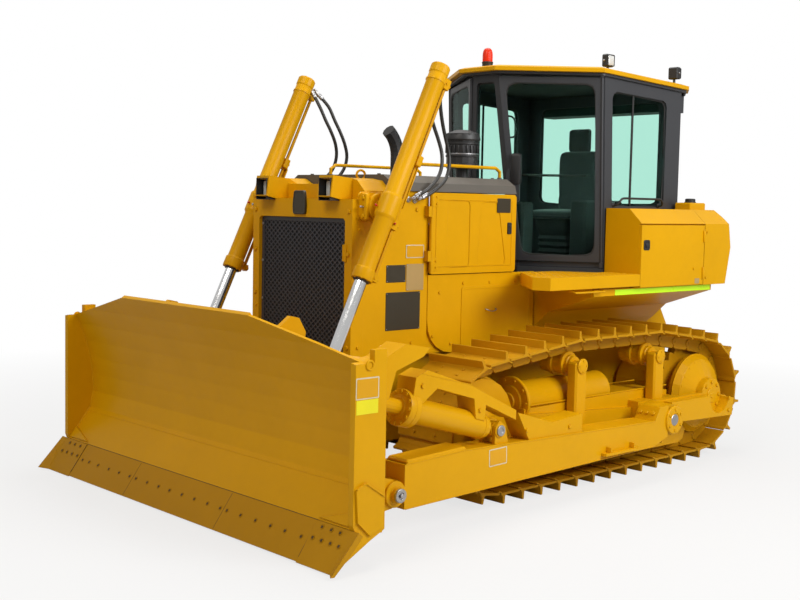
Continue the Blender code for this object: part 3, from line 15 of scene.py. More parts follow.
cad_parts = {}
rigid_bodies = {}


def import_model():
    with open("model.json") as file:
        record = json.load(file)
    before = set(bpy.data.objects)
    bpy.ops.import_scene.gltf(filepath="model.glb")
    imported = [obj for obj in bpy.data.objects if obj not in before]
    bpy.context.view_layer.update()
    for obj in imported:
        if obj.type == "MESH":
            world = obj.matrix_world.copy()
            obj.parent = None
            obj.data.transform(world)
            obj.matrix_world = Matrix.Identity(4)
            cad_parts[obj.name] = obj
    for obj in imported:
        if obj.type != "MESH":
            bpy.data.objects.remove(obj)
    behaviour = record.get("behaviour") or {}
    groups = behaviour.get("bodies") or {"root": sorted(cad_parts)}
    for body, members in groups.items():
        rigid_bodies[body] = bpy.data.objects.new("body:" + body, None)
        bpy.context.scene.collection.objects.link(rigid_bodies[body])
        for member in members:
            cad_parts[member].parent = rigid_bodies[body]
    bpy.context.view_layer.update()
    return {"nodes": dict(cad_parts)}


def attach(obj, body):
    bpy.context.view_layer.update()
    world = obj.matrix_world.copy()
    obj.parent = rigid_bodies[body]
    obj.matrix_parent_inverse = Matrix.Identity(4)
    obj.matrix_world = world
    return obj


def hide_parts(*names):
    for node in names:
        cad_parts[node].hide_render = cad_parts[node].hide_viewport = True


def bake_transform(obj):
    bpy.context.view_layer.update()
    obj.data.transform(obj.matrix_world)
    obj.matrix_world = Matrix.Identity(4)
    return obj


for old in list(bpy.data.objects):
    bpy.data.objects.remove(old)
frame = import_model()
SHIFT = np.array([0.0, 2.1, 0.0])
LEFT_RIGHT = ((1, "left"), (-1, "right"))
print("nodes in the frame:", len(frame["nodes"]))

# %% [markdown]
# The camera stands in front of the blade's left corner, low and far off, as the photograph was
# taken. Its turn is written as azimuth, tilt and roll, and the three axes of the camera follow from
# them: backwards first, then right, then up by their cross product.

# %% Camera
AZIMUTH, DOWN, ROLL = math.radians(46.892), math.radians(4.630), math.radians(1.137)
eye = bpy.data.cameras.new("portrait")
eye.lens, eye.sensor_width = 53.26, 36.0
camera = bpy.data.objects.new("portrait", eye)
back = Vector((math.sin(AZIMUTH) * math.cos(DOWN), -math.cos(AZIMUTH) * math.cos(DOWN), math.sin(DOWN)))
right = Vector((math.cos(AZIMUTH), math.sin(AZIMUTH), 0.0))
up = back.cross(right)
rolled = math.cos(ROLL) * right + math.sin(ROLL) * up
upright = -math.sin(ROLL) * right + math.cos(ROLL) * up
turn = Matrix((rolled, upright, back)).transposed()
camera.matrix_world = Matrix.Translation((7.067, -7.098, 2.211)) @ turn.to_4x4()
bpy.context.scene.collection.objects.link(camera)
bpy.context.scene.camera = camera
print("camera looks along", tuple(round(-v, 3) for v in back))

# %% [markdown]
# Every new shape is a net: rows of points, each row a ring or a line. A net could be built by pushing
# one vertex after another, but numpy works out all its points at once, which is fast and short. One
# function turns a stack of nets into one closed mesh: four neighbours make a face, equal points are
# merged, the end rows get a cap, and all faces are turned to look outwards.

# %% Nets into meshes
def net_faces(rows, cols, ring_cols=True, ring_rows=False):
    """Four corners for each cell of a rows x cols net, with the last column or row joined to the first."""
    spots = np.arange(rows * cols).reshape(rows, cols)
    if ring_cols:
        spots = np.hstack([spots, spots[:, :1]])
    if ring_rows:
        spots = np.vstack([spots, spots[:1]])
    return np.stack([spots[:-1, :-1], spots[:-1, 1:], spots[1:, 1:], spots[1:, :-1]], -1).reshape(-1, 4)


def skin(name, nets, finish, body, stands_for=(), ring_cols=True, ring_rows=False, caps=True, sharp=32):
    """One mesh from nets of shape (..., rows, cols, 3); equal points are merged, and end rows get a cap."""
    points, faces, start = [], [], 0
    for net in nets:
        net = np.asarray(net, float)
        net = net.reshape((-1,) + net.shape[-3:])
        count, rows, cols = net.shape[:3]
        first = start + np.arange(count)[:, None, None] * rows * cols
        faces += (net_faces(rows, cols, ring_cols, ring_rows)[None] + first).reshape(-1, 4).tolist()
        if caps and not ring_rows:
            faces += (np.arange(cols)[None] + first[:, :, 0]).tolist()
            faces += (rows * cols - 1 - np.arange(cols)[None] + first[:, :, 0]).tolist()
        points.append(net.reshape(-1, 3))
        start += count * rows * cols
    mesh = bpy.data.meshes.new(name)
    mesh.from_pydata((np.concatenate(points) + SHIFT).tolist(), [], faces)
    work = bmesh.new()
    work.from_mesh(mesh)
    bmesh.ops.remove_doubles(work, verts=work.verts, dist=1e-5)
    bmesh.ops.recalc_face_normals(work, faces=work.faces)
    work.to_mesh(mesh)
    work.free()
    mesh.shade_smooth()
    mesh.set_sharp_from_angle(angle=math.radians(sharp))
    made = bpy.data.objects.new(name, mesh)
    bpy.context.scene.collection.objects.link(made)
    mesh.materials.append(finish)
    if body:
        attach(made, body)
    if stands_for:
        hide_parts(*stands_for)
    print(name, len(mesh.polygons), "faces")
    return made


print("a net of 3 x 4 points has", len(net_faces(3, 4)), "faces")

# %% [markdown]
# Most machine parts are turned on a lathe or look as if they were. A turned shape is a profile of
# (radius, height) carried round its axis. It is worked out once about the origin, and then placed:
# its own axis is laid along the wanted direction, and a copy goes to every spot on the list.

# %% Circles, turned shapes and placing
def unit(v):
    """The same directions with length one: v / |v|."""
    v = np.asarray(v, float)
    return v / np.linalg.norm(v, axis=-1, keepdims=True)


def ring(radius, sides, turned=0.0):
    """Points round a circle: (radius cos a, radius sin a), with even angles a from the turned one on."""
    angle = np.arange(sides) * 2 * np.pi / sides + turned
    return np.stack([radius * np.cos(angle), radius * np.sin(angle)], -1)


def placed(local, spots, axis, across=(0, 0, 1)):
    """Copies of a local net at each spot: spot + x * side + y * (axis x side) + z * axis.

    The side is the across direction less its share along the axis, so that the three stay square.
    """
    out = unit(axis)
    across = (1, 0, 0) if abs(np.dot(unit(across), out)) > 0.999 else across
    side = unit(np.asarray(across, float) - out * np.dot(across, out))
    basis = np.stack([side, np.cross(out, side), out])
    return np.asarray(spots, float).reshape(-1, 1, 1, 3) + local @ basis


def lathe(profile, sides=24, turned=0.0):
    """A turned shape: each (radius, height) of the profile becomes the ring (r cos a, r sin a, height)."""
    profile = np.asarray(profile, float)
    flat = profile[:, None, :1] * ring(1.0, sides, turned)[None]
    return np.concatenate([flat, np.broadcast_to(profile[:, None, 1:], flat.shape[:2] + (1,))], -1)


print("a turned disc:", lathe([(1.0, 0.0), (1.0, 0.1)]).shape)

# %% [markdown]
# Plates and pads are cut from sheet: an outline with rounded corners, raised to a thickness, with its
# rim drawn in a little at the top. That last step is what catches the light along an edge. A Bevel
# modifier would do it too, but here the inset is known exactly and costs only one more ring.

# %% Rounded outlines and slabs
def rounded(corners, radius, steps=4):
    """A closed outline with curved corners, each (1 - t)^2 * start + 2 t (1 - t) * corner + t^2 * end.

    Start and end lie on the two sides of the corner, the radius away from it.
    """
    p = np.asarray(corners, float)
    radius = np.broadcast_to(np.asarray(radius, float), (len(p),))[:, None]
    start = p + unit(np.roll(p, 1, 0) - p) * radius
    end = p + unit(np.roll(p, -1, 0) - p) * radius
    t = np.linspace(0, 1, steps + 1)[None, :, None]
    return ((1 - t) ** 2 * start[:, None] + 2 * t * (1 - t) * p[:, None] + t ** 2 * end[:, None]).reshape(-1, 2)


def box_outline(wide, high, radius, steps=4):
    """A rectangle about the middle with rounded corners."""
    return rounded([(-wide / 2, -high / 2), (wide / 2, -high / 2), (wide / 2, high / 2), (-wide / 2, high / 2)],
                   radius, steps)


def slab(outline, steps):
    """Rings of one outline: each step gives how far it is moved in, and its height.

    A point moves in along the line that halves its corner, by inset / cos(half the turn), so that both
    sides of the corner move in by the same amount. An inset must stay below the corners' radius.
    """
    outline = np.asarray(outline, float)
    ahead = unit(np.roll(outline, -1, 0) - outline)
    behind = unit(outline - np.roll(outline, 1, 0))
    middle = unit(ahead + behind)
    inward = np.stack([-middle[:, 1], middle[:, 0]], -1)
    area = np.sum(outline[:, 0] * np.roll(outline[:, 1], -1) - np.roll(outline[:, 0], -1) * outline[:, 1])
    inward *= np.sign(area) / np.maximum(0.5, np.sum(middle * ahead, -1))[:, None]
    steps = np.asarray(steps, float)
    flat = outline[None] + inward[None] * steps[:, None, :1]
    return np.concatenate([flat, np.broadcast_to(steps[:, None, 1:], flat.shape[:2] + (1,))], -1)


print("a slab:", slab(box_outline(0.2, 0.1, 0.01), [(0, 0), (0, 0.01), (0.002, 0.012)]).shape)

# %% [markdown]
# Pipes, bars, hoses and weld beads are a section carried along a line. The line is a smooth curve
# through a few chosen points, cut into even lengths, so that no stretch of the pipe is coarser than
# another. Bolt heads, the most common piece of all, are a turned profile with six sides.

# %% Sections carried along a line, and bolts
def carried(path, section, up_hint=(0, 0, 1)):
    """A section (s, u) carried along a line, square to it: point + s * side + u * rise.

    Side is the line's direction x the hint, and rise is side x direction.
    """
    path = np.asarray(path, float)
    section = np.asarray(section, float)
    along = unit(np.gradient(path, axis=0))
    side = unit(np.cross(along, np.asarray(up_hint, float)))
    rise = np.cross(side, along)
    return path[:, None] + section[None, :, :1] * side[:, None] + section[None, :, 1:] * rise[:, None]


def smooth_line(points, count=24):
    """An even line of points on a smooth curve through the given ones.

    Each stretch is the cubic through its two ends whose slope at an end is half the step from the point
    before that end to the point after it. The fine curve is then cut at equal lengths along it.
    """
    p = np.asarray(points, float)
    p = np.vstack([2 * p[0] - p[1], p, 2 * p[-1] - p[-2]])
    t = np.linspace(0, 1, 24, endpoint=False)[None, :, None]
    a, b, c, d = p[:-3, None], p[1:-2, None], p[2:-1, None], p[3:, None]
    fine = 0.5 * (2 * b + (c - a) * t + (2 * a - 5 * b + 4 * c - d) * t ** 2 + (3 * b - a - 3 * c + d) * t ** 3)
    fine = np.vstack([fine.reshape(-1, 3), p[-2]])
    far = np.concatenate([[0], np.cumsum(np.linalg.norm(np.diff(fine, axis=0), axis=1))])
    want = np.linspace(0, far[-1], count)
    return np.stack([np.interp(want, far, fine[:, k]) for k in range(3)], -1)


HEX_HEAD = lathe([(1.0, 0.0), (1.0, 0.55), (0.86, 0.7)], 6)


def bolts(spots, axis, size=0.016, across=(0, 0, 1)):
    """Hexagon bolt heads at the spots, size from middle to corner, standing along axis."""
    return placed(HEX_HEAD * size, spots, axis, across)


def spots(xs, ys, zs):
    """All combinations of the given x, y and z, as a list of points."""
    return np.stack(np.meshgrid(np.atleast_1d(xs), np.atleast_1d(ys), np.atleast_1d(zs), indexing="ij"),
                    -1).reshape(-1, 3)


print("hex head:", HEX_HEAD.shape)

# %% [markdown]
# Materials are built from nodes in code. Four small helpers keep that short: one gives a node group its
# named inputs and outputs, one adds a node with its settings and links, and two stand for the nodes
# used most, a sum of two numbers and a mix of two colours.

# %% Helpers for nodes
def socket(group, name, kind, into=True, value=None):
    """A named input or output of a node group."""
    made = group.interface.new_socket(name, in_out="INPUT" if into else "OUTPUT", socket_type="NodeSocket" + kind)
    if value is not None:
        made.default_value = value


def add(tree, kind, links=None, **settings):
    """A node with its settings, and with links from other sockets or plain values on its inputs."""
    node = tree.nodes.new("ShaderNode" + kind)
    for key, value in settings.items():
        setattr(node, key, value)
    for key, value in (links or {}).items():
        if isinstance(value, bpy.types.NodeSocket):
            tree.links.new(value, node.inputs[key])
        else:
            node.inputs[key].default_value = value
    return node


def maths(tree, operation, first, second=0.0, clamp=False):
    """One sum on two numbers or sockets."""
    return add(tree, "Math", {0: first, 1: second}, operation=operation, use_clamp=clamp).outputs[0]


def blend_colour(tree, share, first, second):
    """A mix of two colours by a share."""
    return add(tree, "Mix", {0: share, 6: first, 7: second}, data_type="RGBA").outputs[2]


print("node helpers:", [helper.__name__ for helper in (socket, add, maths, blend_colour)])

# %% [markdown]
# Paint on steel is never one flat colour. It has a slow drift in tone, a fine orange-peel skin,
# a little pale dust where faces look up or lie low, and bare or rubbed edges. One node group works
# all this out, and each paint places it with its own numbers. The Bevel node sends out a normal
# that turns softly over every edge, so sharp CAD edges catch the light as real ones do. Where that
# normal and the face's own differ, there is an edge: edge = 4 * (1 - soft . plain), times chips.

# %% Shared node group: worn finish
worn = bpy.data.node_groups.new("worn_finish", "ShaderNodeTree")
for name, kind, value in (("Colour", "Color", (0.8, 0.5, 0.05, 1)), ("Edge Colour", "Color", (0.3, 0.2, 0.1, 1)),
                          ("Dust Colour", "Color", (0.45, 0.38, 0.28, 1)), ("Drift", "Float", 0.1),
                          ("Edge", "Float", 0.3), ("Dust", "Float", 0.2), ("Gloss", "Float", 0.4),
                          ("Grain", "Float", 900.0), ("Peel", "Float", 0.2), ("Softness", "Float", 0.004)):
    socket(worn, name, kind, True, value)
for name, kind in (("Colour", "Color"), ("Roughness", "Float"), ("Height", "Float"), ("Normal", "Vector")):
    socket(worn, name, kind, False)
gate = worn.nodes.new("NodeGroupInput")
results = worn.nodes.new("NodeGroupOutput")
where = add(worn, "TexCoord").outputs["Object"]
slow = add(worn, "TexNoise", {"Vector": where, "Scale": 1.7, "Detail": 4.0, "Roughness": 0.6}).outputs[0]
middle = add(worn, "TexNoise", {"Vector": where, "Scale": 14.0, "Detail": 5.0, "Roughness": 0.65}).outputs[0]
fine = add(worn, "TexNoise", {"Vector": where, "Scale": gate.outputs["Grain"], "Detail": 2.0}).outputs[0]
soft = add(worn, "Bevel", {"Radius": gate.outputs["Softness"]}, samples=3).outputs[0]
plain = add(worn, "NewGeometry").outputs["True Normal"]
turned_away = add(worn, "VectorMath", {0: soft, 1: plain}, operation="DOT_PRODUCT").outputs["Value"]
edge = maths(worn, "MULTIPLY", maths(worn, "SUBTRACT", 1.0, turned_away), 4.0, True)
chips = maths(worn, "MULTIPLY", maths(worn, "SUBTRACT", middle, 0.36), 4.0, True)
edge = maths(worn, "MULTIPLY", maths(worn, "MULTIPLY", edge, chips), gate.outputs["Edge"], True)
drift = maths(worn, "MULTIPLY", maths(worn, "SUBTRACT",
                                      maths(worn, "ADD", slow, maths(worn, "MULTIPLY", middle, 0.4)),
                                      0.7), gate.outputs["Drift"])
tone = add(worn, "HueSaturation", {"Value": maths(worn, "ADD", 1.0, drift),
                                   "Color": gate.outputs["Colour"]}).outputs[0]
looks_up = add(worn, "SeparateXYZ", {0: plain}).outputs["Z"]
low = add(worn, "SeparateXYZ", {0: where}).outputs["Z"]
ground = add(worn, "MapRange", {"Value": low, "From Min": 0.9, "From Max": 0.0, "To Min": 0.0,
                                "To Max": 0.8}).outputs[0]
lying = maths(worn, "MULTIPLY", maths(worn, "ADD", maths(worn, "MULTIPLY", looks_up, 0.5, True), ground), slow, True)
dusty = maths(worn, "MULTIPLY", maths(worn, "MULTIPLY", lying, maths(worn, "ADD", middle, 0.35)),
              gate.outputs["Dust"], True)
colour = blend_colour(worn, edge, tone, gate.outputs["Edge Colour"])
colour = blend_colour(worn, dusty, colour, gate.outputs["Dust Colour"])
rough = maths(worn, "ADD", gate.outputs["Gloss"], maths(worn, "MULTIPLY", maths(worn, "SUBTRACT", middle, 0.5), 0.22))
rough = maths(worn, "ADD", rough, maths(worn, "MULTIPLY", maths(worn, "ADD", dusty, edge), 0.3), True)
high = maths(worn, "MULTIPLY", fine, gate.outputs["Peel"])
high = maths(worn, "SUBTRACT", high, maths(worn, "MULTIPLY", edge, 0.3))
for name, value in (("Colour", colour), ("Roughness", rough), ("Height", high), ("Normal", soft)):
    worn.links.new(value, results.inputs[name])
print("worn_finish has", len(worn.nodes), "nodes")

# %% [markdown]
# A finish is the shared group with its own numbers, a Bump node for the fine skin, and one Principled
# shader. What changes over the surface comes out of the group; what stays the same, such as how
# metallic a thing is, is set on the shader itself. The same few lines serve paint, rubber and chrome.

# %% One finish from the group
def finish(name, colour, edge_colour=None, dust_colour=(0.42, 0.36, 0.27), drift=0.25, edge=0.35, dust=0.25,
           gloss=0.4, grain=700.0, peel=0.25, softness=0.004, depth=0.0008, **shader):
    """A painted, moulded or metal finish: the shared group, a bump, and constants on the shader itself."""
    made = bpy.data.materials.new(name)
    made.use_nodes = True
    tree = made.node_tree
    tree.nodes.clear()
    worn_node = tree.nodes.new("ShaderNodeGroup")
    worn_node.node_tree = worn
    edge_colour = edge_colour or tuple(c * 0.45 for c in colour)
    for key, value in (("Colour", (*colour, 1)), ("Edge Colour", (*edge_colour, 1)),
                       ("Dust Colour", (*dust_colour, 1)), ("Drift", drift), ("Edge", edge), ("Dust", dust),
                       ("Gloss", gloss), ("Grain", grain), ("Peel", peel), ("Softness", softness)):
        worn_node.inputs[key].default_value = value
    bump = add(tree, "Bump", {"Distance": depth, "Strength": 0.6, "Height": worn_node.outputs["Height"],
                              "Normal": worn_node.outputs["Normal"]})
    shine = add(tree, "BsdfPrincipled", {"Base Color": worn_node.outputs["Colour"],
                                         "Roughness": worn_node.outputs["Roughness"], "Normal": bump.outputs[0]})
    for key, value in shader.items():
        shine.inputs[key.replace("_", " ")].default_value = value
    out = add(tree, "OutputMaterial", {"Surface": shine.outputs[0]})
    out.is_active_output = True
    return made


print("inputs of a finish:", [item.name for item in worn.interface.items_tree if item.in_out == "INPUT"])

# %% [markdown]
# The finishes themselves. The yellow is a warm golden enamel under a very thin clear coat, with little
# mirror shine of its own; the tracks wear the same yellow but flatter and dustier. The cab is a charcoal
# textured paint, the bonnet a warm grey, and the lift rods are hard chrome.

# %% Finishes
yellow = finish("golden_enamel", (0.66, 0.335, 0.0015), (0.34, 0.16, 0.004), (0.40, 0.22, 0.015), gloss=0.36,
                drift=0.2, dust=0.08, Coat_Weight=0.05, Coat_Roughness=0.18, Specular_IOR_Level=0.10)
track_paint = finish("track_enamel", (0.50, 0.245, 0.003), (0.20, 0.10, 0.02), (0.30, 0.16, 0.02), gloss=0.46,
                     drift=0.3, edge=0.6, dust=0.22, Specular_IOR_Level=0.14)
charcoal = finish("cab_charcoal", (0.032, 0.034, 0.040), (0.09, 0.09, 0.1), gloss=0.42, peel=0.5, dust=0.06)
bonnet_grey = finish("bonnet_grey", (0.085, 0.075, 0.062), (0.16, 0.14, 0.11), gloss=0.62, peel=0.8, dust=0.2)
black = finish("satin_black", (0.012, 0.012, 0.013), (0.05, 0.05, 0.05), gloss=0.45, dust=0.05)
inside_grey = finish("trim_grey", (0.022, 0.024, 0.026), (0.05, 0.05, 0.05), gloss=0.7, peel=0.8, dust=0.03)
steel = finish("bolt_steel", (0.42, 0.42, 0.43), (0.2, 0.18, 0.15), gloss=0.32, drift=0.2, dust=0.1, Metallic=1.0)
chrome = finish("hard_chrome", (0.72, 0.73, 0.75), (0.5, 0.5, 0.5), gloss=0.1, drift=0.05, edge=0.1, dust=0.02,
                peel=0.05, Metallic=1.0)
hose = finish("hose_rubber", (0.018, 0.017, 0.016), (0.04, 0.04, 0.04), gloss=0.42, grain=260.0, peel=0.6, dust=0.15)
bare_plate = finish("bare_tin_plate", (0.42, 0.30, 0.13), (0.2, 0.15, 0.08), gloss=0.4, dust=0.1)
# The lime strip's emission is a painted glow that stands in for light sent back by the reflector; it is no lamp.
lime = finish("lime_reflector_painted_glow", (0.52, 0.86, 0.01), (0.3, 0.5, 0.02), gloss=0.3, grain=420.0, peel=0.9, dust=0.03,
              Emission_Color=(0.45, 0.9, 0.02, 1), Emission_Strength=0.18)
beacon_red = finish("beacon_red", (0.80, 0.035, 0.008), (0.5, 0.05, 0.01), gloss=0.2, grain=180.0, peel=0.4, dust=0.0,
                    Emission_Color=(0.9, 0.05, 0.01, 1), Emission_Strength=0.25, Transmission_Weight=0.15)
print("finishes:", len(bpy.data.materials))

# %% [markdown]
# Cab glass is tinted a cool mint: what is seen through it turns pale green. The shader lets all light
# through and bends it hardly at all, as a thin flat pane does. A faint smeared film, drawn from a noise,
# roughens it from place to place, so that it never looks like an empty frame.

# %% Glass
def glass_finish(name, tint):
    """A thin tinted pane: clear, almost without bending, with a film whose roughness drifts."""
    made = bpy.data.materials.new(name)
    made.use_nodes = True
    tree = made.node_tree
    shine = tree.nodes["Principled BSDF"]
    where = add(tree, "TexCoord").outputs["Object"]
    smear = add(tree, "TexNoise", {"Vector": where, "Scale": 3.0, "Detail": 6.0, "Roughness": 0.7}).outputs[0]
    film = add(tree, "MapRange", {"Value": smear, "From Min": 0.45, "From Max": 0.8, "To Min": 0.015,
                                  "To Max": 0.1}).outputs[0]
    tree.links.new(film, shine.inputs["Roughness"])
    shine.inputs["Base Color"].default_value = (*tint, 1)
    shine.inputs["Transmission Weight"].default_value = 1.0
    shine.inputs["IOR"].default_value = 1.03
    shine.inputs["Specular IOR Level"].default_value = 0.6
    return made


pane = glass_finish("mint_glass", (0.66, 0.90, 0.82))
print("glass made")

# %% [markdown]
# Each CAD node keeps its mesh and only gets its finish. One table names the finish by the start of
# the node's name; the first match counts.

# %% Finishes on the CAD nodes
FINISH_OF = (("track_frame", yellow), ("track_", track_paint), ("sprocket", track_paint),
             ("cutting_edge", track_paint), ("lift_rod", chrome), ("cab_roof", yellow), ("cab_floor", inside_grey),
             ("cab_", charcoal), ("bonnet", bonnet_grey), ("grille", black), ("precleaner", black),
             ("exhaust", black), ("engine", black), ("console", inside_grey), ("seat", inside_grey),
             ("roof_lamp", black), ("beacon", beacon_red), ("front_glass", pane), ("rear_glass", pane),
             ("side_glass", pane), ("door_glass", pane), ("", yellow))
for name, node in frame["nodes"].items():
    chosen = next(f for start, f in FINISH_OF if name.startswith(start))
    for slot in node.material_slots:
        slot.material = chosen
print("nodes dressed:", len(frame["nodes"]))

# %% [markdown]
# Two oil hoses hang from the head of each lift cylinder. They leave its port, droop past the bonnet's
# edge and turn forwards into the guard's wall. A hose is a round section carried along one smooth
# curve, so its thickness never changes. A curve object with a bevel would look the same, but a net can
# also end in a crimped sleeve and a nut, turned about the hose's own first stretch.

# %% Hose routes, tubes and nuts
HOSE_R, PIPE_R = 0.014, 0.0125
HOSE_ROUTES = {
    "rear": [(0.744, -2.874, 3.116), (0.708, -2.856, 3.075), (0.656, -2.822, 3.0), (0.631, -2.783, 2.9),
             (0.610, -2.736, 2.8), (0.601, -2.692, 2.7), (0.606, -2.664, 2.6), (0.624, -2.678, 2.5),
             (0.650, -2.738, 2.41), (0.669, -2.83, 2.345), (0.672, -2.92, 2.295), (0.648, -2.985, 2.262)],
    "front": [(0.738, -2.938, 3.128), (0.698, -2.934, 3.07), (0.648, -2.917, 2.98), (0.623, -2.885, 2.89),
              (0.611, -2.836, 2.8), (0.612, -2.786, 2.7), (0.626, -2.762, 2.6), (0.645, -2.780, 2.5),
              (0.668, -2.838, 2.42), (0.681, -2.918, 2.355), (0.680, -2.995, 2.305), (0.650, -3.052, 2.268)]}


def tube(points, radius, count=32, sides=14, hint=(1, 0, 0)):
    """A round tube: a ring of the given radius carried along the smooth curve through the points."""
    path = smooth_line(points, count)
    return carried(path, ring(radius, sides), hint), path


def nut_and_sleeve(path, size=HOSE_R):
    """The crimped sleeve and the nut on a hose's first stretch, turned about that stretch."""
    profile = [(size, 0.0), (size * 1.45, 0.0), (size * 1.45, 0.018), (size * 1.25, 0.02), (size * 1.25, 0.028),
               (size * 1.36, 0.030), (size * 1.36, 0.040), (size * 1.25, 0.043), (size * 1.36, 0.046),
               (size * 1.36, 0.056), (size * 1.2, 0.060), (size, 0.060)]
    return placed(lathe(profile, 12), path[0], path[4] - path[0], (1, 0, 0))


print("hose routes:", {row: len(route) for row, route in HOSE_ROUTES.items()})

# %% [markdown]
# The upper end of a hose swings with the barrel while its lower end stays on the hull. A rigid piece
# would tear off at one of them; here each hose is left on no body, so it keeps the place where it is drawn.
# The elbows and nuts are pieces of their own and ride with the body that they are screwed into.

# %% Lift hoses
for side, tag in LEFT_RIGHT:
    mirror = np.array([side, 1, 1])
    tops, feet = [], []
    for row, route in HOSE_ROUTES.items():
        net, path = tube(np.array(route) * mirror, HOSE_R, 40)
        made = skin("lift_hose_%s_%s" % (row, tag), [net], hose, None)
        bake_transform(made)
        long = float(np.sum(np.linalg.norm(np.diff(path, axis=0), axis=1)))
        port = np.array([0.772, path[0][1] - 0.012, 3.108]) * mirror
        elbow = tube([path[0], path[0] * 2 - path[2] + (0, 0, 0.004), port], PIPE_R, 8, 10)[0]
        tops += [nut_and_sleeve(path), elbow]
        into_wall = np.array([0.596 * side, path[-1][1] - 0.03, path[-1][2] - 0.02])
        bend = tube([path[-1], path[-1] + (path[-1] - path[-3]) * 0.5, into_wall], PIPE_R, 8, 10)[0]
        feet += [nut_and_sleeve(path[::-1]), bend]
        feet.append(placed(lathe([(0.024, 0), (0.024, 0.012), (0.018, 0.014), (0.018, 0.02)], 6), into_wall,
                           (side, 0, 0)))
        print("hose", row, tag, "is", round(long, 3), "m long")
    skin("hose_ends_upper_" + tag, tops, steel, "lift_barrel_" + tag)
    skin("hose_ends_lower_" + tag, feet, steel, "chassis")

# %% [markdown]
# The chain is what makes a crawler: 38 flat shoes, each with one tall bar, bolted to pairs of links on
# pins. The solid frame has it as one loop, so here every shoe and link becomes a piece of its own.
# The pins lie on a belt round the sprocket, the idler and the two carrier rollers; each shoe is flat
# and lies on the chord from its pin to the next, which is why the chain looks many-sided on the wheels.

# %% Belt of pins
AXLE_Z, IDLER_Y = 0.567, -2.76
CARRIER_Y, CARRIER_Z = (-1.765, -0.706), 0.963
WHEELS = np.array([(0.0, AXLE_Z, 0.43), (IDLER_Y, AXLE_Z, 0.43), *((y, CARRIER_Z, 0.147) for y in CARRIER_Y)])


def belt(wheels, start, count):
    """Even points on the belt round the wheels (y, z, radius): arcs, and straight runs between their tangents.

    From one wheel to the next, d apart, the belt touches both where the outward direction is
    left * sqrt(1 - s^2) + along * s, with s = (radius - next radius) / d.
    """
    step = np.roll(wheels, -1, 0) - wheels
    far = np.hypot(step[:, 0], step[:, 1])
    along = step[:, :2] / far[:, None]
    left = np.stack([-along[:, 1], along[:, 0]], -1)
    sine = (-step[:, 2] / far)[:, None]
    out = left * np.sqrt(1 - sine ** 2) + along * sine
    last = np.arctan2(out[:, 1], out[:, 0])
    sweep = (np.roll(last, 1) - last) % (2 * np.pi)
    steps = np.maximum(2, (np.degrees(sweep) / 2).astype(int))
    arcs = [w[:2] + w[2] * np.stack([np.cos(a), np.sin(a)], -1)
            for w, a in zip(wheels, (np.linspace(b + s, b, n + 1) for b, s, n in zip(last, sweep, steps)))]
    line = np.roll(np.vstack(arcs), -steps[0], 0)
    line = np.vstack([line, line[:1]])
    gone = np.concatenate([[0], np.cumsum(np.linalg.norm(np.diff(line, axis=0), axis=1))])
    want = (start + gone[-1] * np.arange(count) / count) % gone[-1]
    return np.stack([np.interp(want, gone, line[:, k]) for k in (0, 1)], -1)


PINS = belt(WHEELS, 0.112, 38)
AHEAD = unit(np.roll(PINS, -1, 0) - PINS)
OUTWARD = np.stack([-AHEAD[:, 1], AHEAD[:, 0]], -1)
PITCH = float(np.linalg.norm(PINS[1] - PINS[0]))
print("pins:", len(PINS), "pitch", round(PITCH, 4))


def on_pins(local, side):
    """A net of (a, o, x) laid at every pin: pin + a * ahead + o * outward in the belt's plane, and x across."""
    local = np.asarray(local, float)
    flat = (PINS[:, None, None] + local[None, ..., :1] * AHEAD[:, None, None]
            + local[None, ..., 1:2] * OUTWARD[:, None, None])
    across = np.broadcast_to(side * 1.0 + side * local[..., 2], flat.shape[:3])
    return np.concatenate([across[..., None], flat], -1)


# %% [markdown]
# One shoe's section: a lip that hooks under the next shoe, the flat plate, and the bar with its
# rounded root and worn crest. The section is a ring; it is carried across the shoe's width and drawn
# in a little at both ends, which rounds the corners. Links, pin ends and bolt heads follow.

# %% Shoes, links and pins
SHOE_SECTION = rounded([(0.004, 0.054), (0.006, 0.068), (0.020, 0.0708), (0.150, 0.071), (0.168, 0.079),
                        (0.1735, 0.137), (0.193, 0.137), (0.197, 0.080), (0.205, 0.0735), (0.222, 0.050),
                        (0.243, 0.046), (0.241, 0.036), (0.219, 0.040), (0.204, 0.052), (0.020, 0.052)], 0.0022, 2)
SHOE = slab(SHOE_SECTION, [(0.0008, -0.28), (0.0, -0.279), (0.0, 0.279), (0.0008, 0.28)])
LINK_SECTION = rounded([(0.004, 0.050), (0.055, 0.051), (0.160, 0.051), (0.2145, 0.050), (0.2145, -0.045),
                        (0.195, -0.0615), (0.022, -0.0615), (0.004, -0.045)], 0.006, 2)


def link_pair():
    """Two links side by side, each a section drawn in by 3 mm at both faces."""
    return [slab(LINK_SECTION, [(0.003, at - 0.024), (0, at - 0.021), (0, at + 0.021), (0.003, at + 0.024)])
            for at in (-0.075, 0.075)]


def pin_end(at, radius, high, sides=14):
    """A short turned boss on the pin's line at a distance across the chain."""
    return lathe([(radius, 0), (radius, high), (radius - 0.004, high + 0.004), (0.012, high + 0.004),
                  (0.010, high + 0.001)], sides) * (1, 1, np.sign(at)) + (0, 0, at)


def shoe_bolt(ahead, across):
    """A hexagon head standing on the plate: its height goes outwards from the pins."""
    head = HEX_HEAD * 0.0125
    return np.stack([ahead + head[..., 0], 0.0705 + head[..., 2], across + head[..., 1]], -1)


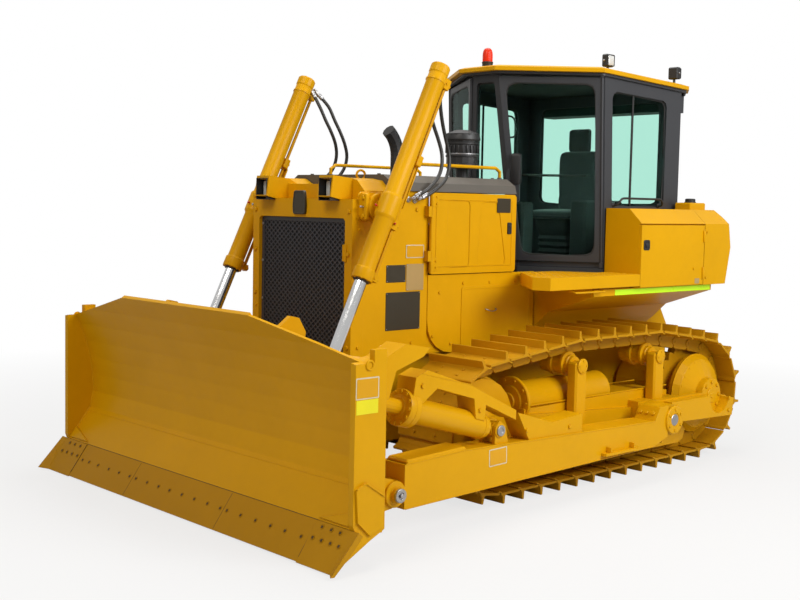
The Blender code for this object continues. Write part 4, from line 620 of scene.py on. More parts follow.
for side, tag in LEFT_RIGHT:
    shoes = on_pins(SHOE, side)
    heads = [on_pins(shoe_bolt(u, x), side) for u in (0.055, 0.128) for x in (-0.105, 0.105)]
    skin("chain_" + tag, [shoes, *heads, *(on_pins(link, side) for link in link_pair()),
                          *(on_pins(pin_end(at, 0.031, 0.004), side) for at in (0.099, -0.099))],
         track_paint, "chassis", stands_for=["track_" + tag])
    pins = on_pins(lathe([(0.022, -0.05), (0.022, 0.05)], 10), side)
    skin("chain_pins_" + tag, [pins], steel, "chassis")

# %% [markdown]
# Small flat things come again and again: pads, plates, doublers. Each is a rounded outline raised in
# steps and drawn in at the top, so that its rim catches light. A weld is a thin rounded bead whose
# radius swells and sinks along its length, as the welder's strokes left it.

# %% Pads, plates and weld beads
def tile(spot, axis, across, long, wide, thick=0.004, radius=0.01, bevel=0.0015):
    """A rounded plate standing on a spot: its length runs along across, its thickness along axis."""
    outline = box_outline(long, wide, min(radius, 0.49 * min(long, wide)), 3)
    return placed(slab(outline, [(0, -0.001), (0, thick - bevel), (bevel, thick)]), spot, axis, across)[0]


def weld(points, radius=0.006, stroke=0.011, hint=(0, 0, 1)):
    """A weld bead: a ring carried along the line, its radius R * (1 + 0.14 |sin(pi s / stroke + 0.4)|)."""
    points = np.asarray(points, float)
    far = np.concatenate([[0], np.cumsum(np.linalg.norm(np.diff(points, axis=0), axis=1))])
    count = max(4, int(far[-1] / stroke * 2) + 1)
    s = np.linspace(0, far[-1], count)
    path = np.stack([np.interp(s, far, points[:, k]) for k in range(3)], -1)
    net = carried(path, ring(radius, 6), hint)
    swell = 1 + 0.14 * np.abs(np.sin(np.pi * s / stroke + 0.4))[:, None, None]
    return path[:, None] + (net - path[:, None]) * swell


def bolt_circle(centre, axis, radius, count, size=0.012, turned=0.0, across=(0, 0, 1)):
    """Hexagon heads evenly round a circle that is square to the axis."""
    out = unit(axis)
    side = unit(np.asarray(across, float) - out * np.dot(across, out))
    flat = ring(radius, count, turned)
    where = np.asarray(centre, float) + flat[:, :1] * side + flat[:, 1:] * np.cross(out, side)
    return bolts(where, axis, size, across)


print("tile:", tile((0, 0, 0), (0, 0, 1), (1, 0, 0), 0.1, 0.05).shape)

# %% [markdown]
# The blade is the dozer's face. Its curved plate is welded between two end plates, and the cutting edge
# slopes forward below it. All that is fixed to it is given by where it lies: how far down the lower
# face, or at which height on the arc of the upper one. So each bolt and seam keeps to the steel.

# %% Blade: places on its face
SEAM, TIP = np.array([-4.612, 0.244]), np.array([-4.78, 0.012])
DOWN_EDGE = unit(TIP - SEAM)
EDGE_OUT = np.array([0.0, DOWN_EDGE[1], -DOWN_EDGE[0]])
# seam_shadow is a near-black brown: painted shade for the seams and the sunk bolt heads of the cutting edge.
seam_shadow = finish("seam_shadow", (0.055, 0.028, 0.003), (0.1, 0.05, 0.01), gloss=0.7, dust=0.1)
plate_amber = finish("bare_amber_plate", (0.66, 0.33, 0.008), (0.4, 0.22, 0.03), gloss=0.36, grain=90.0, dust=0.04,
                     Specular_IOR_Level=0.2)
plate_pale = finish("plate_rim", (0.62, 0.56, 0.40), (0.3, 0.3, 0.25), gloss=0.4, dust=0.05)
plate_yellow = finish("bare_yellow_plate", (0.78, 0.70, 0.0), (0.4, 0.36, 0.0), gloss=0.32, grain=90.0,
                      dust=0.04)


def on_edge(x, far, over=0.0):
    """A point of the lower face at x, far below its seam and over in front of it."""
    x = np.atleast_1d(np.asarray(x, float))
    flat = SEAM + DOWN_EDGE * far
    return np.stack([x, np.full_like(x, flat[0]), np.full_like(x, flat[1])], -1) + EDGE_OUT * over


def face_line(count=40):
    """The moldboard's front: lower plate, bent strip, then an arc from (-4.395, 0.62) to the top."""
    z = np.linspace(0.62, 1.472, count)
    radius = (0.852 ** 2 + 0.295 ** 2) / (2 * 0.295)
    arc = np.stack([-4.395 - radius + np.sqrt(radius ** 2 - (z - 0.62) ** 2), z], -1)
    return np.vstack([[SEAM, (-4.505, 0.385), (-4.425, 0.49)], arc])


print("points down the blade's face:", len(face_line()))

# %% [markdown]
# The cutting edge is bolted on in three lengths, with a harder bit at each corner. The bolt heads sit
# sunk in the steel, so only a shallow dish and a square-shouldered head show. They could be painted on
# as a picture; as turned shapes they keep their shadow at any distance. Their near-black colour is
# painted shade of the sockets they sit in. The seams between the lengths, and the long one above the
# cutting edge, are thin dark slabs of painted shade, standing in for the shadow of a gap that would have
# to be cut into the solid.

# %% Blade: edge bolts and seams
EDGE_BOLTS = np.array([-1.40, -1.293, -1.152, -0.986, -0.832, -0.678, -0.585, -0.427, -0.269, -0.122, 0.038, 0.197,
                       0.358, 0.511, 0.592, 0.748, 0.913, 1.076, 1.229, 1.392])
DISHED = lathe([(0.0165, 0.0), (0.0165, 0.0016), (0.0125, 0.0022), (0.0115, 0.0006)], 16)
SQUARE = lathe([(0.0105, 0.0), (0.0105, 0.002), (0.0085, 0.0034)], 4, np.pi / 4)
bit_x = np.array([1.50, 1.585, 1.67, 1.75])
upper_x = np.array([1.534, 1.623, 1.707])
for_bits = [on_edge(sign * xs, far, 0.006) for sign in (-1, 1) for xs, far in ((bit_x, 0.115), (upper_x, 0.035))]
edge_spots = np.vstack([on_edge(EDGE_BOLTS, 0.132), *for_bits])
skin("edge_bolt_dishes", [placed(DISHED, edge_spots, EDGE_OUT, (1, 0, 0))], track_paint, "blade_lift")
skin("edge_bolt_heads", [placed(SQUARE, edge_spots + EDGE_OUT * 0.0005, EDGE_OUT, (1, 0, 0))], seam_shadow,
     "blade_lift")
seams = [tile(on_edge(x, 0.143)[0], EDGE_OUT, (1, 0, 0), 0.003, 0.27, 0.0008, 0.001, 0.0002) for x in (-0.63, 0.55)]
seams += [tile(on_edge(side * 1.4605, 0.13, 0.001)[0], EDGE_OUT, (1, 0, 0), 0.0035, 0.25, 0.0025, 0.001, 0.0002)
          for side in (-1, 1)]
seams.append(tile(on_edge(0.0, -0.001)[0], EDGE_OUT, (1, 0, 0), 2.92, 0.0035, 0.0012, 0.001, 0.0002))
skin("edge_seams", seams, seam_shadow, "blade_lift")

# %% [markdown]
# Weld beads hold the end plates and the stiffening ribs at the back. A bead follows the curve of the
# face, so it takes that curve's own points. Small three-cornered plates close the blade's lower corners.

# %% Blade: welds and corner plates
line = face_line()
inner = line[line[:, 1] < 1.27]
beads = [weld(np.column_stack([np.full(len(inner), side * 1.764), inner]), 0.006, hint=(1, 0, 0)) for side in (-1, 1)]
beads += [weld([(side * 1.828, y0, z0), (side * 1.828, y1, z1)], 0.005, hint=(1, 0, 0)) for side in (-1, 1)
          for (y0, z0), (y1, z1) in (((-4.615, 0.50), (-4.54, 0.53)), ((-4.54, 0.53), (-4.39, 0.43)))]
beads += [weld([(-1.75, -4.447, 0.459), (1.75, -4.447, 0.459)], 0.003)]
beads += [weld([(x + dx, -4.349, 0.50), (x + dx, -4.349, 1.04)], 0.006, hint=(1, 0, 0))
          for x in (-1.30, -0.45, 0.45, 1.30) for dx in (-0.022, 0.022)]
beads += [weld([(-1.74, -4.345, z), (1.74, -4.345, z)], 0.007, 0.016) for z in (0.503, 1.048)]
skin("blade_welds", beads, yellow, "blade_lift")
gusset = slab(rounded([(0, 0), (0.30, 0), (0.0, 0.10)], (0.01, 0.01, 0.01), 2), [(0, 0), (0, 0.009), (0.002, 0.011)])
corners = []
for side in (-1, 1):
    local = gusset * (-side, 1, 1)
    corners.append(placed(local, on_edge(side * 1.763, -0.015), EDGE_OUT, (1, 0, 0))[0])
skin("blade_corner_plates", corners, yellow, "blade_lift")

# %% [markdown]
# Fittings on the blade's ends and back: the lifting hole with its collar, the round pin caps where the
# push arms and lift rods take hold, and small bare plates, each a rounded slab a millimetre or two thick.

# %% Blade: pins, collars and bare plates
COLLAR = lathe([(0.034, 0), (0.034, 0.006), (0.030, 0.009), (0.022, 0.009), (0.019, 0.002), (0.004, 0.002)], 24)
PIN_CAP = lathe([(0.088, 0), (0.088, 0.016), (0.083, 0.021), (0.056, 0.021), (0.054, 0.027), (0.050, 0.027)], 28)
PIN_HEAD = lathe([(0.047, 0), (0.047, 0.020), (0.043, 0.024), (0.024, 0.024), (0.022, 0.018), (0.010, 0.018)], 24)
caps, heads = [], []
for side in (-1, 1):
    caps.append(placed(COLLAR, (side * 1.81, -4.514, 1.245), (side, 0, 0)))
    caps.append(placed(PIN_CAP, (side * 1.535, -4.04, 0.333), (side, 0, 0)))
    heads.append(placed(PIN_HEAD, (side * 1.585, -4.04, 0.333), (side, 0, 0)))
    heads.append(bolts([(side * 1.609, -4.04, 0.333)], (side, 0, 0), 0.017))
    for x, out in ((0.865, 1), (0.715, -1)):
        caps.append(placed(PIN_HEAD * 1.15, (side * x, -4.19, 0.65), (side * out, 0, 0)))
        caps.append(bolt_circle((side * (x + out * 0.02), -4.19, 0.65), (side * out, 0, 0), 0.033, 3, 0.009))
skin("blade_pin_caps", caps, yellow, "blade_lift")
skin("blade_pin_heads", heads, steel, "blade_lift")
skin("blade_end_plate_rims", [tile((1.81, -4.529, 1.107), (1, 0, 0), (0, 1, 0), 0.186, 0.132, 0.0012, 0.006, 0.0004)],
     plate_pale, "blade_lift")
skin("blade_end_plates", [tile((1.81, -4.529, 1.107), (1, 0, 0), (0, 1, 0), 0.170, 0.116, 0.0020, 0.004, 0.0004)],
     plate_amber, "blade_lift")
skin("blade_end_plate_low", [tile((1.81, -4.529, 0.994), (1, 0, 0), (0, 1, 0), 0.176, 0.088, 0.0016, 0.004, 0.0004)],
     plate_yellow, "blade_lift")

# %% [markdown]
# The push arms carry the blade. Each is a box beam that turns on a pin beside the track. Flanges are held
# by rings of bolts, pins end in turned heads, and the beams show the beads that close their corners. A
# bevelled cap strip lies on the arm's nose. Pieces are gathered in lists by finish and skinned together.

# %% Push arms
TILT_HEAD, TILT_FOOT = np.array([1.45, -4.33, 0.99]), np.array([1.45, -3.02, 0.63])
TILT_WAY = unit(TILT_HEAD - TILT_FOOT)
parts, dark, welds = [], [], []
for side in (-1, 1):
    dark.append(placed(PIN_HEAD * 0.85, (side * 1.525, -3.02, 0.63), (side, 0, 0)))
    parts.append(placed(lathe([(0.052, 0), (0.052, 0.006), (0.048, 0.008)], 24), (side * 1.525, -3.02, 0.63),
                        (side, 0, 0)))
    parts.append(tile((side * 1.45, -3.66, 0.533), (0, -0.04, 1), (0, 1, 0), 0.56, 0.20, 0.022, 0.02, 0.012))
    parts.append(bolts([(side * x, -1.137, 0.548) for x in (1.385, 1.4475, 1.51)], (0, -0.86, 0.51), 0.019))
    parts.append(bolts([(side * x, -1.02, 0.306) for x in (1.385, 1.4475, 1.51)], (0, 0.3, -0.95), 0.019))
    parts.append(placed(lathe([(0.118, 0), (0.118, 0.012), (0.112, 0.018), (0.06, 0.018), (0.056, 0.012)], 32),
                        (side * 1.548, -0.90, 0.475), (side, 0, 0)))
    parts.append(bolt_circle((side * 1.564, -0.90, 0.475), (side, 0, 0), 0.088, 6, 0.014))
    dark.append(placed(lathe([(0.05, 0), (0.05, 0.006), (0.046, 0.010)], 24), (side * 1.553, -0.90, 0.475),
                       (side, 0, 0)))
    for y in (-1.80, -1.50):
        parts.append(tile((side * 1.57, y, 0.318), (0, 0, 1), (1, 0, 0), 0.055, 0.012, 0.045, 0.004, 0.003))
    for x in (1.346, 1.549):
        welds.append(weld([(side * x, -3.95, 0.517), (side * x, -3.40, 0.541), (side * x, -2.61, 0.521),
                           (side * x, -1.18, 0.491)], 0.005, hint=(1, 0, 0)))
        welds.append(weld([(side * x, -3.95, 0.221), (side * x, -2.815, 0.250), (side * x, -1.16, 0.287)], 0.005,
                          hint=(1, 0, 0)))
    welds.append(weld([(side * 1.55, y, 0.30) for y in (-1.87, -1.43)], 0.005, hint=(1, 0, 0)))
print("push arm pieces so far:", len(parts) + len(dark) + len(welds))

# %% [markdown]
# The tilt cylinder lies over the left arm only. Twelve bolts hold its gland, as many its flange from
# behind, and a band goes round its foot. Everything is placed by its distance along the cylinder.

# %% Tilt cylinder, and the arms' plates
flange = TILT_FOOT + TILT_WAY * 0.952
parts.append(bolt_circle(flange, TILT_WAY, 0.107, 12, 0.0135, across=(1, 0, 0)))
parts.append(bolt_circle(TILT_FOOT + TILT_WAY * 0.858, -TILT_WAY, 0.107, 12, 0.0115, across=(1, 0, 0)))
collars = lathe([(0.089, 0), (0.0935, 0.004), (0.0935, 0.020), (0.089, 0.024)], 28)
parts.append(placed(collars, [TILT_FOOT + TILT_WAY * 0.14], TILT_WAY, (1, 0, 0)))
welds += [weld([(x, -3.80, 1.10), (x, -3.33, 0.985)], 0.003, hint=(1, 0, 0)) for x in (1.366, 1.534)]
parts.append(bolts([(1.535, -3.80, 1.02), (1.535, -3.24, 0.80), (1.535, -2.74, 0.60), (1.535, -2.25, 0.57)],
                   (1, 0, 0), 0.017))
skin("arm_fittings", parts, yellow, "blade_lift")
skin("arm_pin_heads", dark, steel, "blade_lift")
skin("arm_welds", welds, yellow, "blade_lift")
skin("arm_plate_rim", [tile((1.55, -3.058, 0.452), (1, 0, 0), (0, 1, 0.03), 0.186, 0.124, 0.0012, 0.006, 0.0004)],
     plate_pale, "blade_lift")
skin("arm_plate", [tile((1.55, -3.058, 0.452), (1, 0, 0), (0, 1, 0.03), 0.170, 0.108, 0.0020, 0.004, 0.0004)],
     plate_amber, "blade_lift")

# %% [markdown]
# Lift cylinders: a ring of bolts under the gland, a clamp that holds the oil pipes to the barrel with
# a flat strap down to the trunnion band, wipers where the chrome rod goes in, grease nipples with red
# caps, and the bearing cap that holds the trunnion pin to the guard.

# %% Lift cylinder fittings
TRUNNION_Y, TRUNNION_Z = -3.454, 2.187
LEAN = np.arctan2(TRUNNION_Y + 4.19, TRUNNION_Z - 0.65)
LIFT_UP = np.array([0.0, np.sin(LEAN), np.cos(LEAN)])
LIFT_BACK = np.array([0.0, np.cos(LEAN), -np.sin(LEAN)])
CLAMP_AT = -0.42
YOKE_FOOT = rounded([(-3.575, 2.086), (-3.333, 2.086), (-3.333, 2.288), (-3.575, 2.288)], 0.03, 4)
red_cap = finish("red_cap", (0.5, 0.01, 0.01), gloss=0.35, dust=0.02)


def on_lift(side, far, back=0.0, across=0.0):
    """A point far below the trunnion on a lift cylinder, back from its line and across along x."""
    return np.array([side * (0.79 + across), TRUNNION_Y, TRUNNION_Z]) - far * LIFT_UP + back * LIFT_BACK


for side, tag in LEFT_RIGHT:
    barrel = "lift_barrel_" + tag
    pieces = [bolt_circle(on_lift(side, 0.569), -LIFT_UP, 0.0665, 8, 0.0088, across=(1, 0, 0))]
    pieces.append(bolt_circle(on_lift(side, -1.1615), LIFT_UP, 0.045, 6, 0.009, across=(1, 0, 0)))
    clamp = slab(box_outline(0.085, 0.05, 0.008), [(0.003, -0.04), (0, -0.036), (0, 0.036), (0.003, 0.04)])
    pieces.append(placed(clamp, [on_lift(side, CLAMP_AT, 0.095)], LIFT_UP, (1, 0, 0)))
    pieces.append(bolts([on_lift(side, CLAMP_AT, 0.119, dx) for dx in (-0.028, 0.028)], LIFT_BACK, 0.011, (1, 0, 0)))
    strap = slab(box_outline(0.045, 0.34, 0.016), [(0.001, 0), (0, 0.001), (0, 0.009), (0.001, 0.010)])
    pieces.append(placed(strap, [on_lift(side, -0.22, 0.121, -0.012)], LIFT_BACK, (1, 0, 0)))
    pieces.append(bolts([on_lift(side, far, 0.131, -0.012) for far in (-0.36, -0.08)], LIFT_BACK, 0.013, (1, 0, 0)))
    for far in (-1.06, 0.09, 0.515):
        pieces.append(placed(lathe([(0.019, 0), (0.019, 0.014), (0.015, 0.018)], 6), [on_lift(side, far, 0.126)],
                             LIFT_BACK, (1, 0, 0)))
        pieces.append(bolts([on_lift(side, far, 0.09, 0.024)], (side, 0, 0), 0.010))
    pieces.append(placed(lathe([(0.070, 0), (0.075, 0.003), (0.075, 0.014), (0.070, 0.017)], 28),
                         [on_lift(side, -1.02)], LIFT_UP, (1, 0, 0)))
    skin("lift_fittings_" + tag, pieces, yellow, barrel)
    skin("lift_wiper_" + tag, [placed(lathe([(0.0462, 0), (0.058, 0.0), (0.058, 0.010), (0.0475, 0.013)], 28),
                                      [on_lift(side, 0.572)], -LIFT_UP, (1, 0, 0))], black, barrel)
    nipple = lathe([(0.006, 0), (0.006, 0.008), (0.008, 0.010), (0.008, 0.020), (0.005, 0.023)], 10)
    skin("grease_caps_" + tag, [placed(nipple, [on_lift(side, 0.09, 0.08, 0.03)], (side, -0.5, 0)),
                                placed(nipple, [on_lift(side, 0.03, -0.086, -0.02)], -LIFT_BACK)], red_cap, barrel)
    cap = lathe([(0.05, 0), (0.094, 0.0), (0.098, 0.004), (0.098, 0.036), (0.094, 0.040), (0.05, 0.040)], 32)
    bearing = [placed(cap, [(side * 0.660, TRUNNION_Y, TRUNNION_Z)], (side, 0, 0))]
    bearing.append(tile((side * 0.655, -3.545, TRUNNION_Z), (0, -1, 0), (1, 0, 0), 0.06, 0.19, 0.03, 0.012, 0.006))
    bearing.append(bolts([(side * 0.655, -3.576, TRUNNION_Z + dz) for dz in (-0.066, 0.066)], (0, -1, 0), 0.016))
    bearing.append(weld(np.column_stack([np.full(len(YOKE_FOOT), side * 0.601), YOKE_FOOT]), 0.007, hint=(1, 0, 0)))
    skin("trunnion_cap_" + tag, bearing, yellow, "chassis")
    skin("trunnion_nipple_" + tag, [placed(nipple * 1.2, [(side * 0.655, -3.578, TRUNNION_Z)], (0, -1, 0))], steel,
         "chassis")

# %% [markdown]
# The radiator guard's grille is expanded metal: one sheet slit and pulled open into diamonds. Here two
# families of thin slanted bars cross, each bar cut off at the opening, inside a flat frame.

# %% Grille
def slanted(half, low, high, pitch, slope, depth):
    """Bars z = start + slope * (x + half) across |x| < half, each clipped to low < z < high.

    The share t of a bar that lies inside runs from (low - start) / rise to (high - start) / rise.
    """
    rise = 2 * half * slope
    at = np.arange(low - rise - pitch, high + rise + pitch, pitch)
    left = np.stack([np.full_like(at, -half), at], -1)
    z_left, z_right = at, at + np.abs(rise)
    t0 = np.clip((low - z_left) / (z_right - z_left), 0, 1)
    t1 = np.clip((high - z_left) / (z_right - z_left), 0, 1)
    keep = (t1 - t0) > 0.02
    x0, x1 = -half + 2 * half * t0[keep], -half + 2 * half * t1[keep]
    z0, z1 = z_left[keep] + rise * t0[keep], z_left[keep] + rise * t1[keep]
    ends = np.stack([np.stack([x0, z0], -1), np.stack([x1, z1], -1)], 1)
    along = unit(ends[:, 1] - ends[:, 0])
    off = np.stack([-along[:, 1], along[:, 0]], -1)[:, None, None]
    off = off * np.array([0.004, 0.004, -0.004, -0.004])[None, None, :, None]
    flat = ends[:, :, None] + off
    y = np.broadcast_to(depth + np.array([0.002, -0.002, -0.002, 0.002]), flat.shape[:3])
    return np.stack([flat[..., 0], y, flat[..., 1]], -1)


grille_black = finish("grille_black", (0.040, 0.042, 0.056), (0.09, 0.09, 0.10), gloss=0.42, dust=0.04)
core_black = finish("core_black", (0.006, 0.006, 0.010), (0.02, 0.02, 0.03), gloss=0.7, dust=0.02)
right_bars = slanted(0.49, 1.13, 2.07, 0.043, 0.80, -3.5965)
left_bars = slanted(0.49, 1.13, 2.07, 0.043, 0.80, -3.5960) * np.array([-1, 1, 1])
rim_path = np.array([[-0.5, -3.596, 1.12], [0.5, -3.596, 1.12], [0.5, -3.596, 2.08], [-0.5, -3.596, 2.08]])
rim = np.stack([np.stack([np.sign(rim_path[:, 0]) * a, np.full(4, y), 1.6 + np.sign(rim_path[:, 2] - 1.6) * b], -1)
                for a, b, y in ((0.518, 0.498, -3.602), (0.488, 0.468, -3.602), (0.488, 0.468, -3.588),
                                (0.518, 0.498, -3.588))], 1)
skin("grille_mesh", [right_bars, left_bars], grille_black, "chassis", stands_for=("grille",))
skin("grille_frame", [rim], grille_black, "chassis", ring_rows=True)
skin("radiator_core", [tile((0, -3.586, 1.6), (0, -1, 0), (1, 0, 0), 0.99, 0.95, 0.004, 0.004, 0.001)], core_black,
     "chassis")
grille_clips = spots((-0.503, 0.503), -3.603, (1.16, 1.45, 1.75, 2.04))
skin("grille_bolts", [bolts(grille_clips, (0, -1, 0), 0.011)], steel, "chassis")

# %% [markdown]
# The guard's own fittings: corner bolts, headlamps sunk in their hoods, an eye bolt to lift it by, and a
# hinge and latch beside the grille. A lamp is built as it is on the machine: a lined hood, a body deep
# inside it, and a domed lens in front, so that it stays dark and deep from every side.

# %% Guard fittings
plate_dark = finish("bare_dark_plate", (0.030, 0.023, 0.010), (0.12, 0.11, 0.08), gloss=0.35, grain=120.0, dust=0.1)
plate_tan = finish("bare_tan_plate", (0.42, 0.28, 0.10), (0.3, 0.22, 0.1), gloss=0.4, grain=120.0, dust=0.12)
lens = finish("lamp_glass", (0.62, 0.66, 0.68), (0.4, 0.4, 0.4), gloss=0.08, grain=60.0, peel=0.05, dust=0.05,
              Coat_Weight=0.6, Coat_Roughness=0.05)
WALL_X, FRONT_Y, LAMP_X = 0.60, -3.63, 0.384
parts = [bolts(spots((-0.562, 0.562), FRONT_Y, (1.16, 1.50, 1.84, 2.15)), (0, -1, 0), 0.017)]
parts.append(bolts([(0.544, FRONT_Y, 1.286), (-0.548, FRONT_Y, 1.40)], (0, -1, 0), 0.013))
parts.append(tile((0.533, FRONT_Y, 1.85), (0, -1, 0), (0, 0, 1), 0.13, 0.028, 0.010, 0.006, 0.003))
parts.append(placed(lathe([(0.011, -0.06), (0.011, 0.06)], 12), [(0.515, -3.634, 1.85)], (0, 0, 1)))
for side, tag in LEFT_RIGHT:
    wall_bolts = ((-2.994, 2.244), (-2.988, 2.172), (-3.02, 1.16), (-3.56, 1.16), (-3.56, 1.62), (-3.56, 2.02))
    parts.append(bolts([(side * WALL_X, y, z) for y, z in wall_bolts], (side, 0, 0), 0.015))
    edge = np.array([(-1, -1), (1, -1), (1, 1), (-1, 1)])
    lining = np.stack([np.stack([side * LAMP_X + edge[:, 0] * a, np.full(4, y), 2.309 + edge[:, 1] * b], -1)
                       for a, b, y in ((0.0655, 0.0825, -3.716), (0.0655, 0.0825, -3.545), (0.0615, 0.0785, -3.545),
                                       (0.0615, 0.0785, -3.716))], 1)
    skin("headlamp_hood_lining_" + tag, [lining], black, "chassis", ring_rows=True)
    lamp_body = slab(box_outline(0.116, 0.142, 0.02), [(0.01, 0.0), (0.0, 0.02), (0.0, 0.105), (0.006, 0.112)])
    skin("headlamp_body_" + tag, [placed(lamp_body, [(side * LAMP_X, -3.542, 2.308)], (0, -1, 0), (1, 0, 0))], black,
         "chassis")
    glass = slab(box_outline(0.100, 0.124, 0.016), [(0.0, 0.0), (0.0, 0.004), (0.006, 0.008), (0.014, 0.010)])
    skin("headlamp_lens_" + tag, [placed(glass, [(side * LAMP_X, -3.653, 2.308)], (0, -1, 0), (1, 0, 0))], lens,
         "chassis")
eye_path = np.array([(0.30, -3.31, 2.39), (0.30, -3.335, 2.415), (0.30, -3.327, 2.447), (0.30, -3.294, 2.46),
                     (0.30, -3.261, 2.447), (0.30, -3.253, 2.415), (0.30, -3.278, 2.39)])
parts.append(tube(eye_path, 0.009, 22, 10)[0])
parts.append(placed(lathe([(0.026, 0), (0.026, 0.004), (0.02, 0.006), (0.014, 0.008)], 20), [(0.30, -3.294, 2.388)],
                    (0, 0, 1)))
skin("guard_fittings", parts, yellow, "chassis")

# %% [markdown]
# Bare plates: one of a shield's shape between the lamps, four riveted to the side wall. Each is a slab
# with a thin rim, and the rivets are turned heads a few millimetres wide.

# %% Guard: bare plates
badge = slab(rounded([(-0.062, -0.085), (0.062, -0.085), (0.078, 0.02), (0.072, 0.095), (-0.072, 0.095),
                      (-0.078, 0.02)], 0.02, 3),
             [(0, -0.002), (0, 0.016), (0.004, 0.020), (0.012, 0.020), (0.014, 0.017)])
skin("guard_badge_plate", [placed(badge, [(0, FRONT_Y, 2.215)], (0, -1, 0), (-1, 0, 0))], plate_dark, "chassis")
rivet = lathe([(0.0035, -0.001), (0.0035, 0.0008), (0.002, 0.0018)], 8)
for name, spot, long, wide, coat in (("wall_plate_pale", (WALL_X, -3.000, 1.857), 0.186, 0.100, plate_pale),
                                     ("wall_plate_dark", (WALL_X, -3.192, 1.692), 0.196, 0.130, plate_dark),
                                     ("wall_plate_tan", (WALL_X, -2.996, 1.662), 0.180, 0.200, plate_tan),
                                     ("wall_plate_big", (WALL_X, -3.114, 1.410), 0.352, 0.286, plate_dark)):
    skin(name, [tile(spot, (1, 0, 0), (0, 1, 0), long, wide, 0.003, 0.006, 0.001)], coat, "chassis")
    rivets = np.array([(spot[0] + 0.003, spot[1] + a * (long / 2 - 0.01), spot[2] + b * (wide / 2 - 0.01))
                       for a in (-1, 1) for b in (-1, 1)])
    skin(name + "_rivets", [placed(rivet, rivets, (1, 0, 0))], steel, "chassis")
pale_face = tile((0.603, -3.000, 1.857), (1, 0, 0), (0, 1, 0), 0.172, 0.086, 0.0008, 0.004, 0.0002)
skin("wall_plate_pale_face", [pale_face], plate_amber, "chassis")

# %% [markdown]
# The hood door hangs on two knuckles at its front edge and is kept shut by a black latch; a bare badge
# plate sits above it. Under it a fixed panel carries bolts, an inner inset panel and a wire handle.

# %% Hood doors and side panels
DOOR_X = 0.62
DOOR_PATH = np.array([(0.0, -2.80, 1.735), (0.0, -1.935, 1.735), (0.0, -1.935, 2.250), (0.0, -2.80, 2.250)])
for side, tag in LEFT_RIGHT:
    door = "hood_door_" + tag
    parts = [placed(lathe([(0.016, 0), (0.0165, 0.002), (0.0165, 0.098), (0.016, 0.10)], 14),
                    [(side * 0.633, -2.86, z)], (0, 0, 1)) for z in (2.195, 1.705)]
    parts += [tile((side * DOOR_X, -2.815, z), (side, 0, 0), (0, 1, 0), 0.085, 0.10, 0.004, 0.006, 0.001)
              for z in (2.245, 1.755)]
    parts.append(bolts([(side * 0.624, -2.80, z + dz) for z in (2.245, 1.755) for dz in (-0.026, 0.026)],
                       (side, 0, 0), 0.010))
    rib = [weld([(side * DOOR_X, a[1], a[2]), (side * DOOR_X, b[1], b[2])], 0.0035, 0.5, hint=(1, 0, 0))
           for a, b in zip(DOOR_PATH, np.roll(DOOR_PATH, -1, 0))]
    skin("hood_door_trim_" + tag, parts + rib, yellow, door)
    latch = slab(box_outline(0.045, 0.095, 0.012),
                 [(0, 0), (0, 0.008), (0.003, 0.012), (0.009, 0.012), (0.010, 0.009)])
    skin("hood_latch_" + tag, [placed(latch, [(side * DOOR_X, -1.964, 2.032)], (side, 0, 0), (0, 1, 0)),
                               placed(lathe([(0.010, 0.008), (0.010, 0.014), (0.007, 0.015)], 14),
                                      [(side * DOOR_X, -1.964, 2.05)], (side, 0, 0))], black, door)
    badge = tile((side * DOOR_X, -2.033, 2.215), (side, 0, 0), (0, 1, 0), 0.16, 0.115, 0.004, 0.008, 0.0015)
    skin("hood_badge_" + tag, [badge], plate_dark, door)
    panel = slab(rounded([(-2.49, 1.075), (-1.66, 1.075), (-1.66, 1.571), (-2.49, 1.571)], (0.03,), 3),
                 [(0, -0.002), (0, 0.004), (0.002, 0.006), (0.02, 0.006), (0.022, 0.004)])
    parts = [np.stack([side * (0.605 + panel[..., 2]), panel[..., 0], panel[..., 1]], -1)]
    panel_bolts = ((-2.471, 1.60), (-2.165, 1.60), (-1.858, 1.60), (-2.733, 1.535), (-2.80, 1.20), (-2.60, 1.13))
    parts.append(bolts([(side * 0.605, y, z) for y, z in panel_bolts], (side, 0, 0), 0.013))
    skin("panel_trim_" + tag, parts, yellow, "chassis")
    wire = np.array([(0.608, -2.212, 1.383), (0.628, -2.208, 1.38), (0.636, -2.19, 1.372), (0.636, -2.153, 1.366),
                     (0.636, -2.116, 1.372), (0.628, -2.098, 1.38), (0.608, -2.094, 1.383)]) * (side, 1, 1)
    skin("panel_handle_" + tag, [tube(wire, 0.005, 26, 8, (0, 0, 1))[0]], steel, "chassis")

# %% [markdown]
# On the bonnet: the air precleaner's bowl gets three bands, a ring of upright vanes, a domed lid and
# a steel clamp; the two rails stand on small flanged feet, and bolt heads hold the bonnet down.

# %% Bonnet top
PRE = (0.30, -2.20, 0.0)
bands = [placed(lathe([(0.130, z), (0.137, z + 0.004), (0.137, z + 0.016), (0.130, z + 0.020)], 36), [PRE], (0, 0, 1))
         for z in (2.53, 2.60, 2.70)]
lid = lathe([(0.14, 2.735), (0.146, 2.742), (0.146, 2.750), (0.138, 2.782), (0.11, 2.797), (0.05, 2.803)], 36)
bands.append(placed(lid, [PRE], (0, 0, 1)))
vane = slab(box_outline(0.012, 0.010, 0.002), [(0.001, 0), (0, 0.002), (0, 0.058), (0.001, 0.06)])
for angle in np.arange(24) * np.pi / 12:
    outwards = np.array([np.cos(angle), np.sin(angle), 0])
    bands.append(placed(vane, [(PRE[0], PRE[1], 2.635) + 0.134 * outwards], (0, 0, 1), outwards))
skin("precleaner_bands", bands, black, "chassis")
clamp_ring = lathe([(0.1315, 2.62), (0.1335, 2.622), (0.1335, 2.630), (0.1315, 2.632)], 36)
